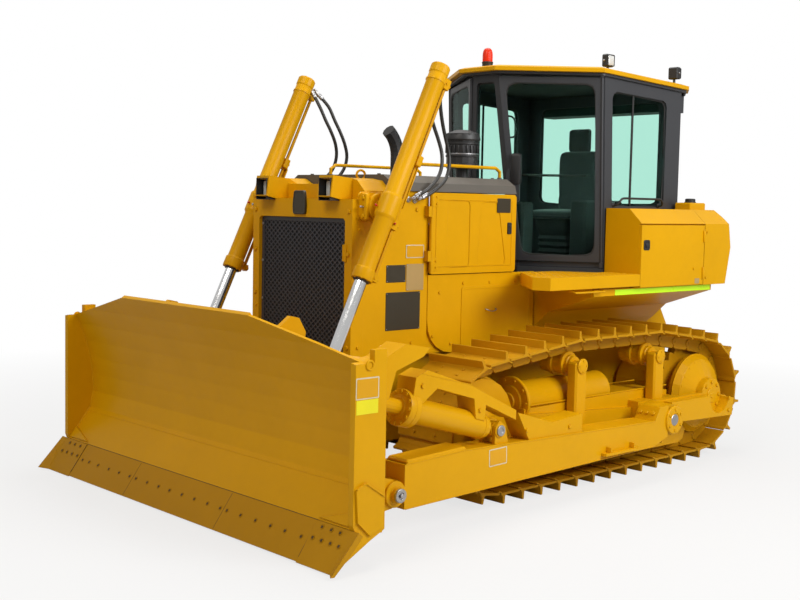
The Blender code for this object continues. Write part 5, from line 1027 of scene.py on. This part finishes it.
skin("precleaner_clamp", [placed(clamp_ring, [PRE], (0, 0, 1)),
                          placed(lathe([(0.008, 0), (0.008, 0.012), (0.012, 0.014), (0.012, 0.020)], 10),
                                 [(PRE[0], PRE[1], 2.80)], (0, 0, 1))], steel, "chassis")
feet = [placed(lathe([(0.034, 0), (0.034, 0.006), (0.03, 0.008), (0.02, 0.009), (0.017, 0.02)], 20),
               [(side * 0.47, y, 2.424)], (0, 0, 1)) for side in (-1, 1) for y in (-2.95, -1.93)]
feet.append(bolts(spots((-0.40, 0.40), (-3.20, -2.57, -1.94), 2.4305), (0, 0, 1), 0.014))
skin("bonnet_fittings", feet, bonnet_grey, "chassis")

# %% [markdown]
# Window panes sit in black rubber. The seal follows each pane's own outer edge: for each of 72 directions
# the furthest point of the pane gives a straight edge line, and the corners are where two of these meet.
# A small closed section, a lip on both faces, is then carried round those corners.

# %% Window seals
seal_rubber = finish("seal_rubber", (0.012, 0.012, 0.012), (0.03, 0.03, 0.03), gloss=0.6, grain=300.0, dust=0.05)


def pane_edge(node, count=72):
    """The outer edge of a flat pane, in the pane's own plane.

    In each direction w the pane reaches r = max(point . w). The corner between two neighbouring
    directions is the point c with c . w1 = r1 and c . w2 = r2.
    """
    points = np.array([node.matrix_world @ v.co for v in node.data.vertices])
    middle = (points.min(0) + points.max(0)) / 2
    basis = np.linalg.svd(points - points.mean(0), full_matrices=False)[2]
    flat = (points - middle) @ basis.T
    hull = flat[:, :2]
    angle = np.linspace(-np.pi, np.pi, count, endpoint=False)
    way = np.stack([np.cos(angle), np.sin(angle)], -1)
    ahead = np.roll(way, -1, 0)
    reach = (hull @ way.T).max(0)
    reach_ahead = np.roll(reach, -1)
    cross = way[:, 0] * ahead[:, 1] - way[:, 1] * ahead[:, 0]
    corner = np.stack([(reach * ahead[:, 1] - reach_ahead * way[:, 1]) / cross,
                       (reach_ahead * way[:, 0] - reach * ahead[:, 0]) / cross], -1)
    front = flat[:, 2].max()
    return middle, basis, corner, front


DOOR_OF = {"door_glass_left": "cab_door_left", "door_glass_right": "cab_door_right"}
GLASS = [name for name in frame["nodes"] if "glass" in name]
for name in GLASS:
    middle, basis, corner, front = pane_edge(frame["nodes"][name])
    rings = [np.concatenate([corner - unit(corner) * inset, np.full((len(corner), 1), up)], -1) @ basis + middle
             for inset, up in ((-0.003, front), (-0.002, front + 0.004), (0.012, front + 0.004), (0.016, front),
                               (0.016, -front), (0.012, -front - 0.004), (-0.002, -front - 0.004), (-0.003, -front))]
    net = np.stack(rings, 1) - SHIFT
    skin("seal_" + name, [net], seal_rubber, DOOR_OF.get(name, "chassis"), ring_rows=True)

# %% [markdown]
# The cab's outside: a dark lip and a grey lining under the roof's edge, the divider of each sliding side
# window, and a low grab bar on flanged feet along the sill below it.

# %% Cab fittings
def extent(name):
    """Low and high corner of a CAD node, in machine coordinates."""
    points = np.array([node.co for node in frame["nodes"][name].data.vertices]) - SHIFT
    return points.min(0), points.max(0)


roof_line = rounded([(-0.21, -1.74), (0.21, -1.74), (0.95, -1.20), (0.95, 0.04), (0.80, 0.25), (-0.80, 0.25),
                     (-0.95, 0.04), (-0.95, -1.20)], 0.03, 3)
lip_top = 3.3515 - (roof_line[:, 1] + 1.63) * 0.0393
lip = np.stack([np.concatenate([roof_line * scale, (lip_top - drop)[:, None]], -1)
                for scale, drop in ((0.972, 0.0), (0.972, 0.022), (0.958, 0.026), (0.945, 0.022), (0.945, 0.0))], 1)
skin("roof_lip", [lip], charcoal, "chassis", ring_rows=True)
lining = np.stack([np.concatenate([roof_line * scale, (lip_top - drop)[:, None]], -1)
                   for scale, drop in ((0.925, 0.0), (0.93, 0.002), (0.93, 0.006), (0.90, 0.008))], 0)
skin("roof_lining", [lining], inside_grey, "chassis")
for side, tag in LEFT_RIGHT:
    half = np.array([(0.905, -0.955, 2.240), (0.935, -0.953, 2.242), (0.952, -0.948, 2.252), (0.958, -0.938, 2.272),
                     (0.960, -0.915, 2.292), (0.960, -0.875, 2.298), (0.960, -0.80, 2.298), (0.960, -0.70, 2.298)])
    arc = np.vstack([half, (half * (1, -1, 1) + (0, -1.26, 0))[::-1]]) * (side, 1, 1)
    foot = lathe([(0.022, -0.004), (0.022, 0.004), (0.018, 0.006), (0.011, 0.008)], 16)
    feet = [placed(foot, [(side * 0.902, y, 2.240)], (side, 0, 0)) for y in (-0.955, -0.305)]
    skin("grab_bar_" + tag, [tube(arc, 0.010, 40, 10, (0, 0, 1))[0], *feet], black, "chassis")
    low, high = extent("side_glass_" + tag)
    face = high[0] if side > 0 else low[0]
    divider = tile((face - side * 0.002, -0.70, (low[2] + high[2]) / 2), (side, 0, 0), (0, 0, 1),
                   high[2] - low[2] - 0.01, 0.022, 0.010, 0.004, 0.002)
    skin("window_divider_" + tag, [divider], seal_rubber, "chassis")

# %% [markdown]
# The beacon is a red dome on a black collar; its lens is fluted so that the light spreads. The two
# work lamps on the roof get a bezel, a lens and the bolts of the fork that they tilt in.

# %% Beacon and work lamps
low, high = extent("beacon")
foot = np.array([(low[0] + high[0]) / 2, (low[1] + high[1]) / 2, low[2]])
tall, wide = high[2] - low[2], (high[0] - low[0]) / 2
dome = np.array([(0.86, 0.34), (0.90, 0.42), (0.90, 0.66), (0.86, 0.78), (0.74, 0.89), (0.54, 0.96),
                 (0.25, 0.995)]) * (wide, tall)
dome_net = lathe(dome, 72)
flutes = 1 - 0.035 * np.cos(np.arange(72) * np.pi * 2 / 3) ** 2
dome_net[:4, :, :2] *= flutes[None, :, None]
beacon_lens = finish("beacon_lens", (0.70, 0.030, 0.004), (0.4, 0.02, 0.01), gloss=0.30, peel=0.05, dust=0.03,
                     Specular_IOR_Level=0.25)
skin("beacon_dome", [placed(dome_net, [foot], (0, 0, 1))], beacon_lens, "chassis", stands_for=("beacon",))
collar = np.array([(0.99, -0.004), (0.99, 0.014), (0.94, 0.018), (0.94, 0.056), (0.99, 0.060), (0.99, 0.070),
                   (0.90, 0.072)]) * (wide, 1)
skin("beacon_collar", [placed(lathe(collar, 36), [foot], (0, 0, 1))], black, "chassis")
for name, face in (("roof_lamp_side", np.array([1.0, 0, 0])), ("roof_lamp_rear", np.array([0, 1.0, 0]))):
    low, high = extent(name)
    across = np.array([0, 1.0, 0]) if face[0] else np.array([-1.0, 0, 0])
    centre = (low + high) / 2
    centre[2] = high[2] - 0.055
    front = centre + face * np.dot(high - centre, face)
    bezel = slab(box_outline(0.098, 0.102, 0.016), [(0, -0.001), (0, 0.008), (0.006, 0.010), (0.010, 0.006)])
    glass = slab(box_outline(0.080, 0.084, 0.012), [(0, 0.002), (0, 0.006), (0.005, 0.009), (0.010, 0.010)])
    skin(name + "_bezel", [placed(bezel, [front], face, across)], black, "chassis")
    skin(name + "_lens", [placed(glass, [front], face, across)], lens, "chassis")
    fork = [placed(lathe([(0.011, 0), (0.011, 0.008), (0.008, 0.010)], 6), [centre + across * sign * 0.050],
                   across * sign, face)
            for sign in (-1, 1)]
    skin(name + "_bolts", fork, steel, "chassis")

# %% [markdown]
# The seat: cloth cushions over foam. Each is one closed rounded form, crowned in its middle; its sides
# pull in between the corners, and two sewn channels cross the base and the back. A thin piping follows
# the widest line. A cloth simulation could fill such a cover, but a formula gives the same plump form.

# %% Seat: cloth, cushions and piping
cloth = finish("seat_cloth", (0.030, 0.032, 0.036), (0.07, 0.07, 0.07), gloss=0.86, grain=900.0, peel=1.0, dust=0.04,
               Sheen_Weight=0.3)


def power(value, exponent):
    """A power that keeps the sign: sign(a) * |a| ** e. It turns circles into rounded squares."""
    return np.sign(value) * np.abs(value) ** exponent


def cushion(centre, half, channels=(), along=1, flat_below=0.55, rows=40, cols=72):
    """A crowned pad: half * (cos v^a cos u^b, cos v^a sin u^b, sin v^c), all powers keeping their sign.

    Small powers square a circle off. The sides are pulled in by 3.5 % between the corners, the top is
    crowned by (1 - x^2)(1 - y^2), and each channel is a groove exp(-((y - at) / width)^2) across it.
    """
    v = np.linspace(-np.pi / 2, np.pi / 2, rows)[:, None]
    u = np.linspace(0, 2 * np.pi, cols, endpoint=False)[None]
    x = power(np.cos(v), 0.35) * power(np.cos(u), 0.30)
    y = power(np.cos(v), 0.35) * power(np.sin(u), 0.30)
    z = power(np.sin(v), 0.62) * np.ones_like(u)
    pull = 1 - 0.035 * np.cos(2 * u) ** 2 * np.cos(v) ** 2
    net = np.stack([x * pull, y * pull, z], -1)
    crown = 0.80 + 0.20 * (1 - net[..., 0] ** 2) * (1 - net[..., 1] ** 2)
    net[..., 2] *= np.where(net[..., 2] > 0, crown, flat_below)
    for at in channels:
        groove = np.exp(-((net[..., along] - at) / 0.045) ** 2)
        net[..., 2] -= np.where(net[..., 2] > 0, 0.16 * groove, 0)
    return net * np.asarray(half) + np.asarray(centre)


def piping(net, row, radius=0.0045):
    """A thin cord sewn along one row of a cushion's net: a ring about each point, square to the row."""
    line = net[row]
    along = unit(np.roll(line, -1, 0) - np.roll(line, 1, 0))
    out = unit(line - net.reshape(-1, 3).mean(0))
    side = unit(np.cross(along, out))
    rise = np.cross(side, along)
    flat = ring(radius, 8)
    return line[:, None] + flat[None, :, :1] * side[:, None] + flat[None, :, 1:] * rise[:, None]


print("a cushion's net:", cushion((0, 0, 0), (1, 1, 1)).shape)

# %% [markdown]
# The seat itself has three cushions: base, back and head rest. A hard shell closes the back, two steel
# posts carry the head rest, and rubber bellows hide the springs below.

# %% Seat
base_pad = cushion((0, -0.53, 2.135), (0.255, 0.245, 0.062), (-0.35, 0.35), 0)
back_local = cushion((0, 0, 0), (0.232, 0.292, 0.055), (-0.45, 0.1), 1)
back_pad = np.stack([back_local[..., 0], -0.300 - back_local[..., 2], 2.452 + back_local[..., 1]], -1)
head_local = cushion((0, 0, 0), (0.125, 0.108, 0.042))
head_pad = np.stack([head_local[..., 0], -0.296 - head_local[..., 2], 2.838 + head_local[..., 1]], -1)
for name, net, fill, others in (("seat_base_pad", base_pad, 0.8, ("seat",)), ("seat_back_pad", back_pad, 0.8, ()),
                                ("seat_head_pad", head_pad, 0.85, ())):
    pad = skin(name, [net], cloth, "chassis", stands_for=others, sharp=80)
    skin(name + "_piping", [piping(net, 19)], black, "chassis", ring_rows=True, sharp=80)
folds = [(0.02 if k % 2 else 0.0, 0.04 + k * 0.03) for k in range(9)]
under = slab(box_outline(0.36, 0.32, 0.04), [(0.0, 0.0), (0.0, 0.03), *folds, (-0.02, 0.33), (-0.03, 0.405)])
skin("seat_bellows", [placed(under, [(0, -0.52, 1.70)], (0, 0, 1), (1, 0, 0))], inside_grey, "chassis")
behind, before = np.minimum(0, back_local[..., 2]), np.maximum(0, back_local[..., 2])
shell = np.stack([back_local[..., 0] * 0.94, -0.262 - behind * 0.9 - before * 0.2,
                  2.452 + back_local[..., 1] * 0.97], -1)
posts = [placed(lathe([(0.007, 0), (0.007, 0.09)], 10), [(side * 0.06, -0.292, 2.70)], (0, 0, 1)) for side in (-1, 1)]
skin("seat_shell", [shell], inside_grey, "chassis", sharp=80)
skin("seat_posts", posts, steel, "chassis")

# %% [markdown]
# Boxes and platforms: latches and hinges on the left box's door, a lime reflecting strip along the
# skirt with a faint painted glow, wire handles, a filler cap on the tank, and raised treads that keep
# boots from slipping.

# %% Boxes and platforms
tread = slab(box_outline(0.030, 0.008, 0.0038, 2), [(0, -0.001), (0, 0.001), (0.002, 0.002)])
xs, ys = np.meshgrid(np.arange(0.70, 1.26, 0.034), np.arange(-2.16, -1.09, 0.034), indexing="ij")
odd = (np.indices(xs.shape).sum(0) % 2).astype(bool)
# a tread bar stays where the platform is: outside the hull, behind the bevel and clear of the cab
beside_cab = np.maximum(0, xs - 0.97)
room = (xs < 1.25) & (ys > -1.86 - (xs - 0.66) * 0.74) & ((ys < -1.44) | (xs > 0.97)) & (ys < -1.42 + beside_cab * 9)
for side, tag in LEFT_RIGHT:
    top = [placed(tread, np.stack([side * xs[room & pick], ys[room & pick], np.full((room & pick).sum(), 1.672)], -1),
                  (0, 0, 1), (1, way, 0)) for pick, way in ((odd, 1), (~odd, -1))]
    skin("tread_" + tag, top, yellow, "chassis")
    strip = tile((side * 1.22, -0.62, 1.525), (side, 0, 0), (0, 1, 0), 1.40, 0.046, 0.002, 0.003, 0.0006)
    skin("lime_strip_" + tag, [strip], lime, "chassis")
    loop = np.array([(1.21, -1.90, 1.562), (1.262, -1.895, 1.548), (1.272, -1.86, 1.545), (1.272, -1.56, 1.545),
                     (1.262, -1.525, 1.548), (1.21, -1.52, 1.562)]) * (side, 1, 1)
    skin("platform_handle_" + tag, [tube(loop, 0.008, 40, 10, (0, 0, 1))[0]], yellow, "chassis")
    cap = lathe([(0.052, 0), (0.052, 0.006), (0.046, 0.008), (0.046, 0.030), (0.040, 0.036), (0.012, 0.038)], 28)
    skin("tank_cap_" + tag, [placed(cap, [(side * 1.015, 0.03, 2.275)], (0, 0, 1))], black, "chassis")
    skin("box_bolts_" + tag, [bolts([(side * 1.28, -0.09, z) for z in (1.62, 2.02)], (side, 0, 0), 0.013)], yellow,
         "chassis")
latch = slab(box_outline(0.085, 0.085, 0.02), [(0, 0), (0, 0.004), (0.003, 0.007), (0.014, 0.007), (0.016, 0.003)])
knob = lathe([(0.020, 0.003), (0.020, 0.010), (0.015, 0.012)], 20)
skin("box_latch", [placed(latch, [(1.28, -0.989, 1.912)], (1, 0, 0), (0, 1, 0)),
                   placed(knob, [(1.28, -0.989, 1.912)], (1, 0, 0), (0, 1, 0))], black, "box_door_left")
hinge = lathe([(0.011, -0.05), (0.012, -0.048), (0.012, 0.048), (0.011, 0.05)], 12)
skin("box_door_trim", [placed(hinge, [(1.286, -0.140, z) for z in (1.66, 1.98)], (0, 0, 1)),
                       bolts([(1.28, -0.284, 1.70)], (1, 0, 0), 0.012)], yellow, "box_door_left")
skin("box_small_plate", [tile((1.28, -0.222, 1.592), (1, 0, 0), (0, 1, 0), 0.069, 0.045, 0.0015, 0.003, 0.0005)],
     bare_plate, "box_door_left")

# %% [markdown]
# Track frames and final drives: rings of bolts hold the covers, each roller has a collar with two
# bolts in the frame's side, and the recoil spring's housing ends in a broad disc behind the idler.

# %% Track frame and final drive
ROLLERS = np.array([(-2.30 + 0.368 * k, 0.297) for k in range(6)])
RECOIL_Y, RECOIL_Z = -2.33, 0.70
for side, tag in LEFT_RIGHT:
    out = (side, 0, 0)
    hub_cap = lathe([(0.07, -0.002), (0.07, 0.008), (0.064, 0.013), (0.03, 0.013), (0.026, 0.018)], 32)
    cover = lathe([(0.21, -0.004), (0.222, 0.0), (0.222, 0.010), (0.21, 0.014), (0.175, 0.030), (0.16, 0.034)], 48)
    parts = [bolt_circle((side * 1.15, 0, AXLE_Z), out, 0.333, 30, 0.013),
             bolt_circle((side * 1.20, 0, AXLE_Z), out, 0.285, 20, 0.014),
             bolt_circle((side * 1.33, 0, AXLE_Z), out, 0.118, 8, 0.018),
             placed(hub_cap, [(side * 1.33, 0, AXLE_Z)], out), placed(cover, [(side * 1.20, 0, AXLE_Z)], out)]
    disc = lathe([(0.15, -0.03), (0.192, -0.028), (0.196, -0.024), (0.196, -0.004), (0.19, 0.003), (0.13, 0.006),
                  (0.12, 0.016), (0.07, 0.020), (0.066, 0.034), (0.04, 0.036)], 48)
    parts += [placed(disc, [(side * 1.0, RECOIL_Y, RECOIL_Z)], (0, -1, 0), (1, 0, 0)),
              bolt_circle((side * 1.0, RECOIL_Y - 0.004, RECOIL_Z), (0, -1, 0), 0.168, 10, 0.013, across=(1, 0, 0))]
    collar = lathe([(0.040, 0), (0.040, 0.010), (0.036, 0.014), (0.018, 0.014), (0.016, 0.010)], 20)
    for face in (1.205, 0.795):
        way = (side * np.sign(face - 1), 0, 0)
        parts.append(placed(collar, [(side * face, y, z) for y, z in ROLLERS], way))
        parts.append(bolts([(side * face, y + dy, z + 0.02) for y, z in ROLLERS for dy in (-0.075, 0.075)], way,
                           0.013))
        parts.append(bolts([(side * face, y, 0.44) for y in np.arange(-2.40, -0.25, 0.31)], way, 0.015))
    hub = lathe([(0.060, 0), (0.060, 0.010), (0.054, 0.014), (0.02, 0.016)], 28)
    parts.append(placed(hub, [(side * 1.28, y - 0.03, CARRIER_Z) for y in CARRIER_Y], out))
    parts += [bolt_circle((side * 1.292, y - 0.03, CARRIER_Z), out, 0.042, 4, 0.010) for y in CARRIER_Y]
    parts.append(placed(hub * 1.3, [(side * 1.205, IDLER_Y, AXLE_Z)], out))
    parts.append(bolt_circle((side * 1.219, IDLER_Y, AXLE_Z), out, 0.055, 4, 0.012))
    parts.append(bolts([(side * 1.42, y, z) for y, z in ((-0.66, 0.43), (-0.66, 0.54), (0.15, 0.43), (0.15, 0.54))],
                       out, 0.016))
    skin("track_frame_bolts_" + tag, parts, yellow, "chassis")
    lines = [weld([(side * x, RECOIL_Y, 0.682), (side * x, -0.47, 0.682)], 0.006, 0.014, hint=(1, 0, 0))
             for x in (0.831, 1.169)]
    lines.append(weld([(side * 1.205, -2.90, 0.432), (side * 1.205, -2.52, 0.432)], 0.005, 0.014, hint=(1, 0, 0)))
    skin("track_frame_welds_" + tag, lines, yellow, "chassis")

# %% [markdown]
# The solid frame keeps round parts as prisms of few sides. Here each gets a turned skin that just
# covers its corners: one profile of radius and height, with its weld rings, steps and lips, carried
# round many times more finely. The skin rides with the part that it covers.

# %% Turned skins
for side, tag in LEFT_RIGHT:
    out = (side, 0, 0)
    recoil = lathe([(0.1500, 0.0), (0.1525, 0.004), (0.1525, 0.05), (0.1505, 0.054), (0.1505, 0.60),
                    (0.1545, 0.604), (0.1545, 0.624), (0.1505, 0.628), (0.1505, 1.05), (0.1540, 1.056),
                    (0.1540, 1.078), (0.150, 1.080)], 56)
    drive = lathe([(0.30, -0.004), (0.3525, -0.003), (0.3530, 0.001), (0.345, 0.004), (0.325, 0.005), (0.312, 0.020),
                   (0.3110, 0.024), (0.3110, 0.047), (0.306, 0.052), (0.26, 0.053), (0.20, 0.062), (0.166, 0.075),
                   (0.1515, 0.095), (0.1510, 0.176), (0.147, 0.1815), (0.10, 0.182)], 72)
    carrier = lathe([(0.086, 0.90), (0.086, 0.975), (0.104, 0.980), (0.104, 1.012), (0.086, 1.018), (0.086, 1.095),
                     (0.100, 1.100), (0.100, 1.122), (0.074, 1.128), (0.074, 1.150), (0.066, 1.155), (0.066, 1.179)],
                     40)
    turned = [placed(recoil, [(side * 1.0, RECOIL_Y, RECOIL_Z)], (0, 1, 0), (1, 0, 0)),
              placed(drive, [(side * 1.15, 0, AXLE_Z)], out),
              placed(carrier, [(0, y, CARRIER_Z) for y in CARRIER_Y], out)]
    skin("track_frame_turned_" + tag, turned, yellow, "chassis")
    barrel = lathe([(0.066, 1.160), (0.0685, 1.156), (0.0685, 1.03), (0.0700, 1.026), (0.0700, 1.014),
                    (0.0685, 1.010), (0.0685, 0.10), (0.0715, 0.094), (0.0825, 0.076), (0.0827, 0.070),
                    (0.0827, -0.070), (0.0825, -0.076), (0.0715, -0.094), (0.0685, -0.10), (0.0685, -0.485),
                    (0.0785, -0.492), (0.0787, -0.498), (0.0787, -0.563), (0.0765, -0.5695), (0.060, -0.570)], 48)
    skin("lift_barrel_turned_" + tag, [placed(barrel, [on_lift(side, 0.0)], LIFT_UP, (1, 0, 0))], yellow,
         "lift_barrel_" + tag)
tilt = lathe([(0.080, 0.150), (0.0885, 0.156), (0.0885, 0.845), (0.0915, 0.850), (0.1255, 0.853), (0.1257, 0.857),
              (0.1257, 0.896), (0.1235, 0.8985), (0.1235, 0.9015), (0.1257, 0.904), (0.1257, 0.948), (0.1235, 0.952),
              (0.070, 0.9525), (0.066, 0.960), (0.050, 0.962)], 56)
skin("tilt_cylinder_turned", [placed(tilt, [TILT_FOOT], TILT_WAY, (1, 0, 0))], yellow, "blade_lift")

# %% [markdown]
# Each cab door has a stout handle block near its front edge, a grab bar across its inside and a small
# loop above it. All three are placed in the door's own leaning plane, so they keep flat on the glass.

# %% Door handles and bars
DOOR_ALONG, DOOR_OUT = np.array([0.833, 0.554, 0]), np.array([0.554, -0.832, -0.036])


def on_door(side, along, z, out=0.0):
    """A point on a cab door: a distance along it from its front edge, a height, and out from its face."""
    rise = z - 1.70
    point = np.array([0.2665 - 0.0757 * rise, -1.476 - 0.0933 * rise, z])
    return (point + DOOR_ALONG * along + DOOR_OUT * out) * (side, 1, 1)


for side, tag in LEFT_RIGHT:
    door = "cab_door_" + tag
    outwards = DOOR_OUT * (side, 1, 1)
    block = slab(box_outline(0.27, 0.095, 0.032),
                 [(0.004, -0.002), (0, 0.004), (0, 0.044), (0.006, 0.054), (0.018, 0.058)])
    skin("door_block_" + tag, [placed(block, [on_door(side, 0.09, 2.53, 0.024)], outwards, (0, 0, 1))], black, door)
    bar = np.array([on_door(side, along, 2.48, out) for along, out in
                    ((0.085, 0.004), (0.088, -0.025), (0.10, -0.042), (0.13, -0.05), (0.24, -0.05), (0.39, -0.05),
                     (0.54, -0.05), (0.65, -0.05), (0.68, -0.042), (0.692, -0.025), (0.695, 0.004))])
    loop = np.array([on_door(side, along, z, out) for along, z, out in
                     ((0.062, 2.80, 0.004), (0.064, 2.80, -0.02), (0.085, 2.805, -0.034), (0.105, 2.83, -0.036),
                      (0.108, 2.89, -0.036), (0.105, 2.95, -0.036), (0.085, 2.975, -0.034), (0.064, 2.98, -0.02),
                      (0.062, 2.98, 0.004))])
    bars = [tube(bar, 0.011, 48, 10, (0, 0, 1))[0], tube(loop, 0.008, 36, 10, outwards)[0]]
    skin("door_bars_" + tag, bars, black, door)

# %% [markdown]
# The studio floor is pale, keeps the machine's shadow, and melts into a white surround. White paint under
# strong lamps would do that too, but it would burn out the machine. So the floor glows, and far out it is
# plain white, but only for the camera's eye: that glow adds no light to the machine.

# %% Floor
def floor_net(size=60.0, steps=24):
    """A flat square net at ground level: x = sign(u) * u^2 * size, so points crowd near the machine."""
    line = np.sign(np.linspace(-1, 1, steps)) * np.abs(np.linspace(-1, 1, steps)) ** 2 * size
    x, y = np.meshgrid(line, line, indexing="ij")
    return np.stack([x, y, np.full_like(x, -0.002)], -1)


ground_paint = bpy.data.materials.new("studio_floor")
ground_paint.use_nodes = True
tree = ground_paint.node_tree
tree.nodes.clear()
where = add(tree, "TexCoord").outputs["Object"]
grain = add(tree, "TexNoise", {"Vector": where, "Scale": 40.0, "Detail": 4.0}).outputs[0]
pale = add(tree, "MapRange", {"Value": grain, "To Min": 0.54, "To Max": 0.60}).outputs[0]
matt = add(tree, "BsdfDiffuse", {"Color": pale})
glow = add(tree, "Emission", {"Strength": 1.0})
far = add(tree, "VectorMath", {0: where}, operation="LENGTH").outputs["Value"]
fade = add(tree, "MapRange", {"Value": far, "From Min": 3.0, "From Max": 9.0, "To Min": 0.75,
                              "To Max": 1.0}).outputs[0]
seen = add(tree, "LightPath").outputs["Is Camera Ray"]
both = add(tree, "MixShader", {0: maths(tree, "MULTIPLY", fade, seen), 1: matt.outputs[0], 2: glow.outputs[0]})
add(tree, "OutputMaterial", {"Surface": both.outputs[0]})
floor = skin("studio_floor", [floor_net()], ground_paint, None, ring_cols=False, caps=False)

# %% [markdown]
# Three broad soft lamps: the key lamp on the machine's left, a warm one high up in front, and one
# overhead. A broad lamp gives soft shadow edges and long highlights along bent steel.

# %% Lamps
def lamp(name, spot, aim, size, power, tint=(1, 1, 1)):
    """A square soft lamp at a spot, looking at an aim."""
    light = bpy.data.lights.new(name, "AREA")
    light.size, light.energy, light.color = size, power, tint
    made = bpy.data.objects.new(name, light)
    made.location = spot
    made.rotation_euler = (Vector(aim) - Vector(spot)).to_track_quat("-Z", "Y").to_euler()
    bpy.context.scene.collection.objects.link(made)


lamp("key_lamp", (8.5, 1.0, 6.0), (0, 0, 1.2), 5.0, 720)
lamp("front_lamp", (2.0, -7.5, 8.5), (0, -1.5, 0.6), 4.0, 330, (1.0, 0.95, 0.86))
lamp("top_lamp", (-1.0, 1.0, 9.0), (0, 0, 1.5), 5.0, 420)
print("lamps:", [light.name for light in bpy.data.lights])

# %% [markdown]
# The sky is dim and warm where it lights the machine, which fills the shadows, and plain white where
# the camera sees it directly, through glass, or half mirrored in metal. Light Path tells them apart.

# %% Sky
sky = bpy.data.worlds.new("studio_sky")
sky.use_nodes = True
tree = sky.node_tree
tree.nodes.clear()
path = add(tree, "LightPath").outputs
direct = maths(tree, "ADD", maths(tree, "ADD", path["Is Camera Ray"], path["Is Transmission Ray"]),
               maths(tree, "MULTIPLY", path["Is Glossy Ray"], 0.5), True)
dim = add(tree, "Background", {"Color": (1.0, 0.91, 0.77, 1), "Strength": 0.29})
white = add(tree, "Background", {"Color": (1, 1, 1, 1), "Strength": 1.0})
both = add(tree, "MixShader", {0: direct, 1: dim.outputs[0], 2: white.outputs[0]})
add(tree, "OutputWorld", {"Surface": both.outputs[0]})
bpy.context.scene.world = sky
bpy.context.scene.view_settings.view_transform = "Standard"
print("studio ready")
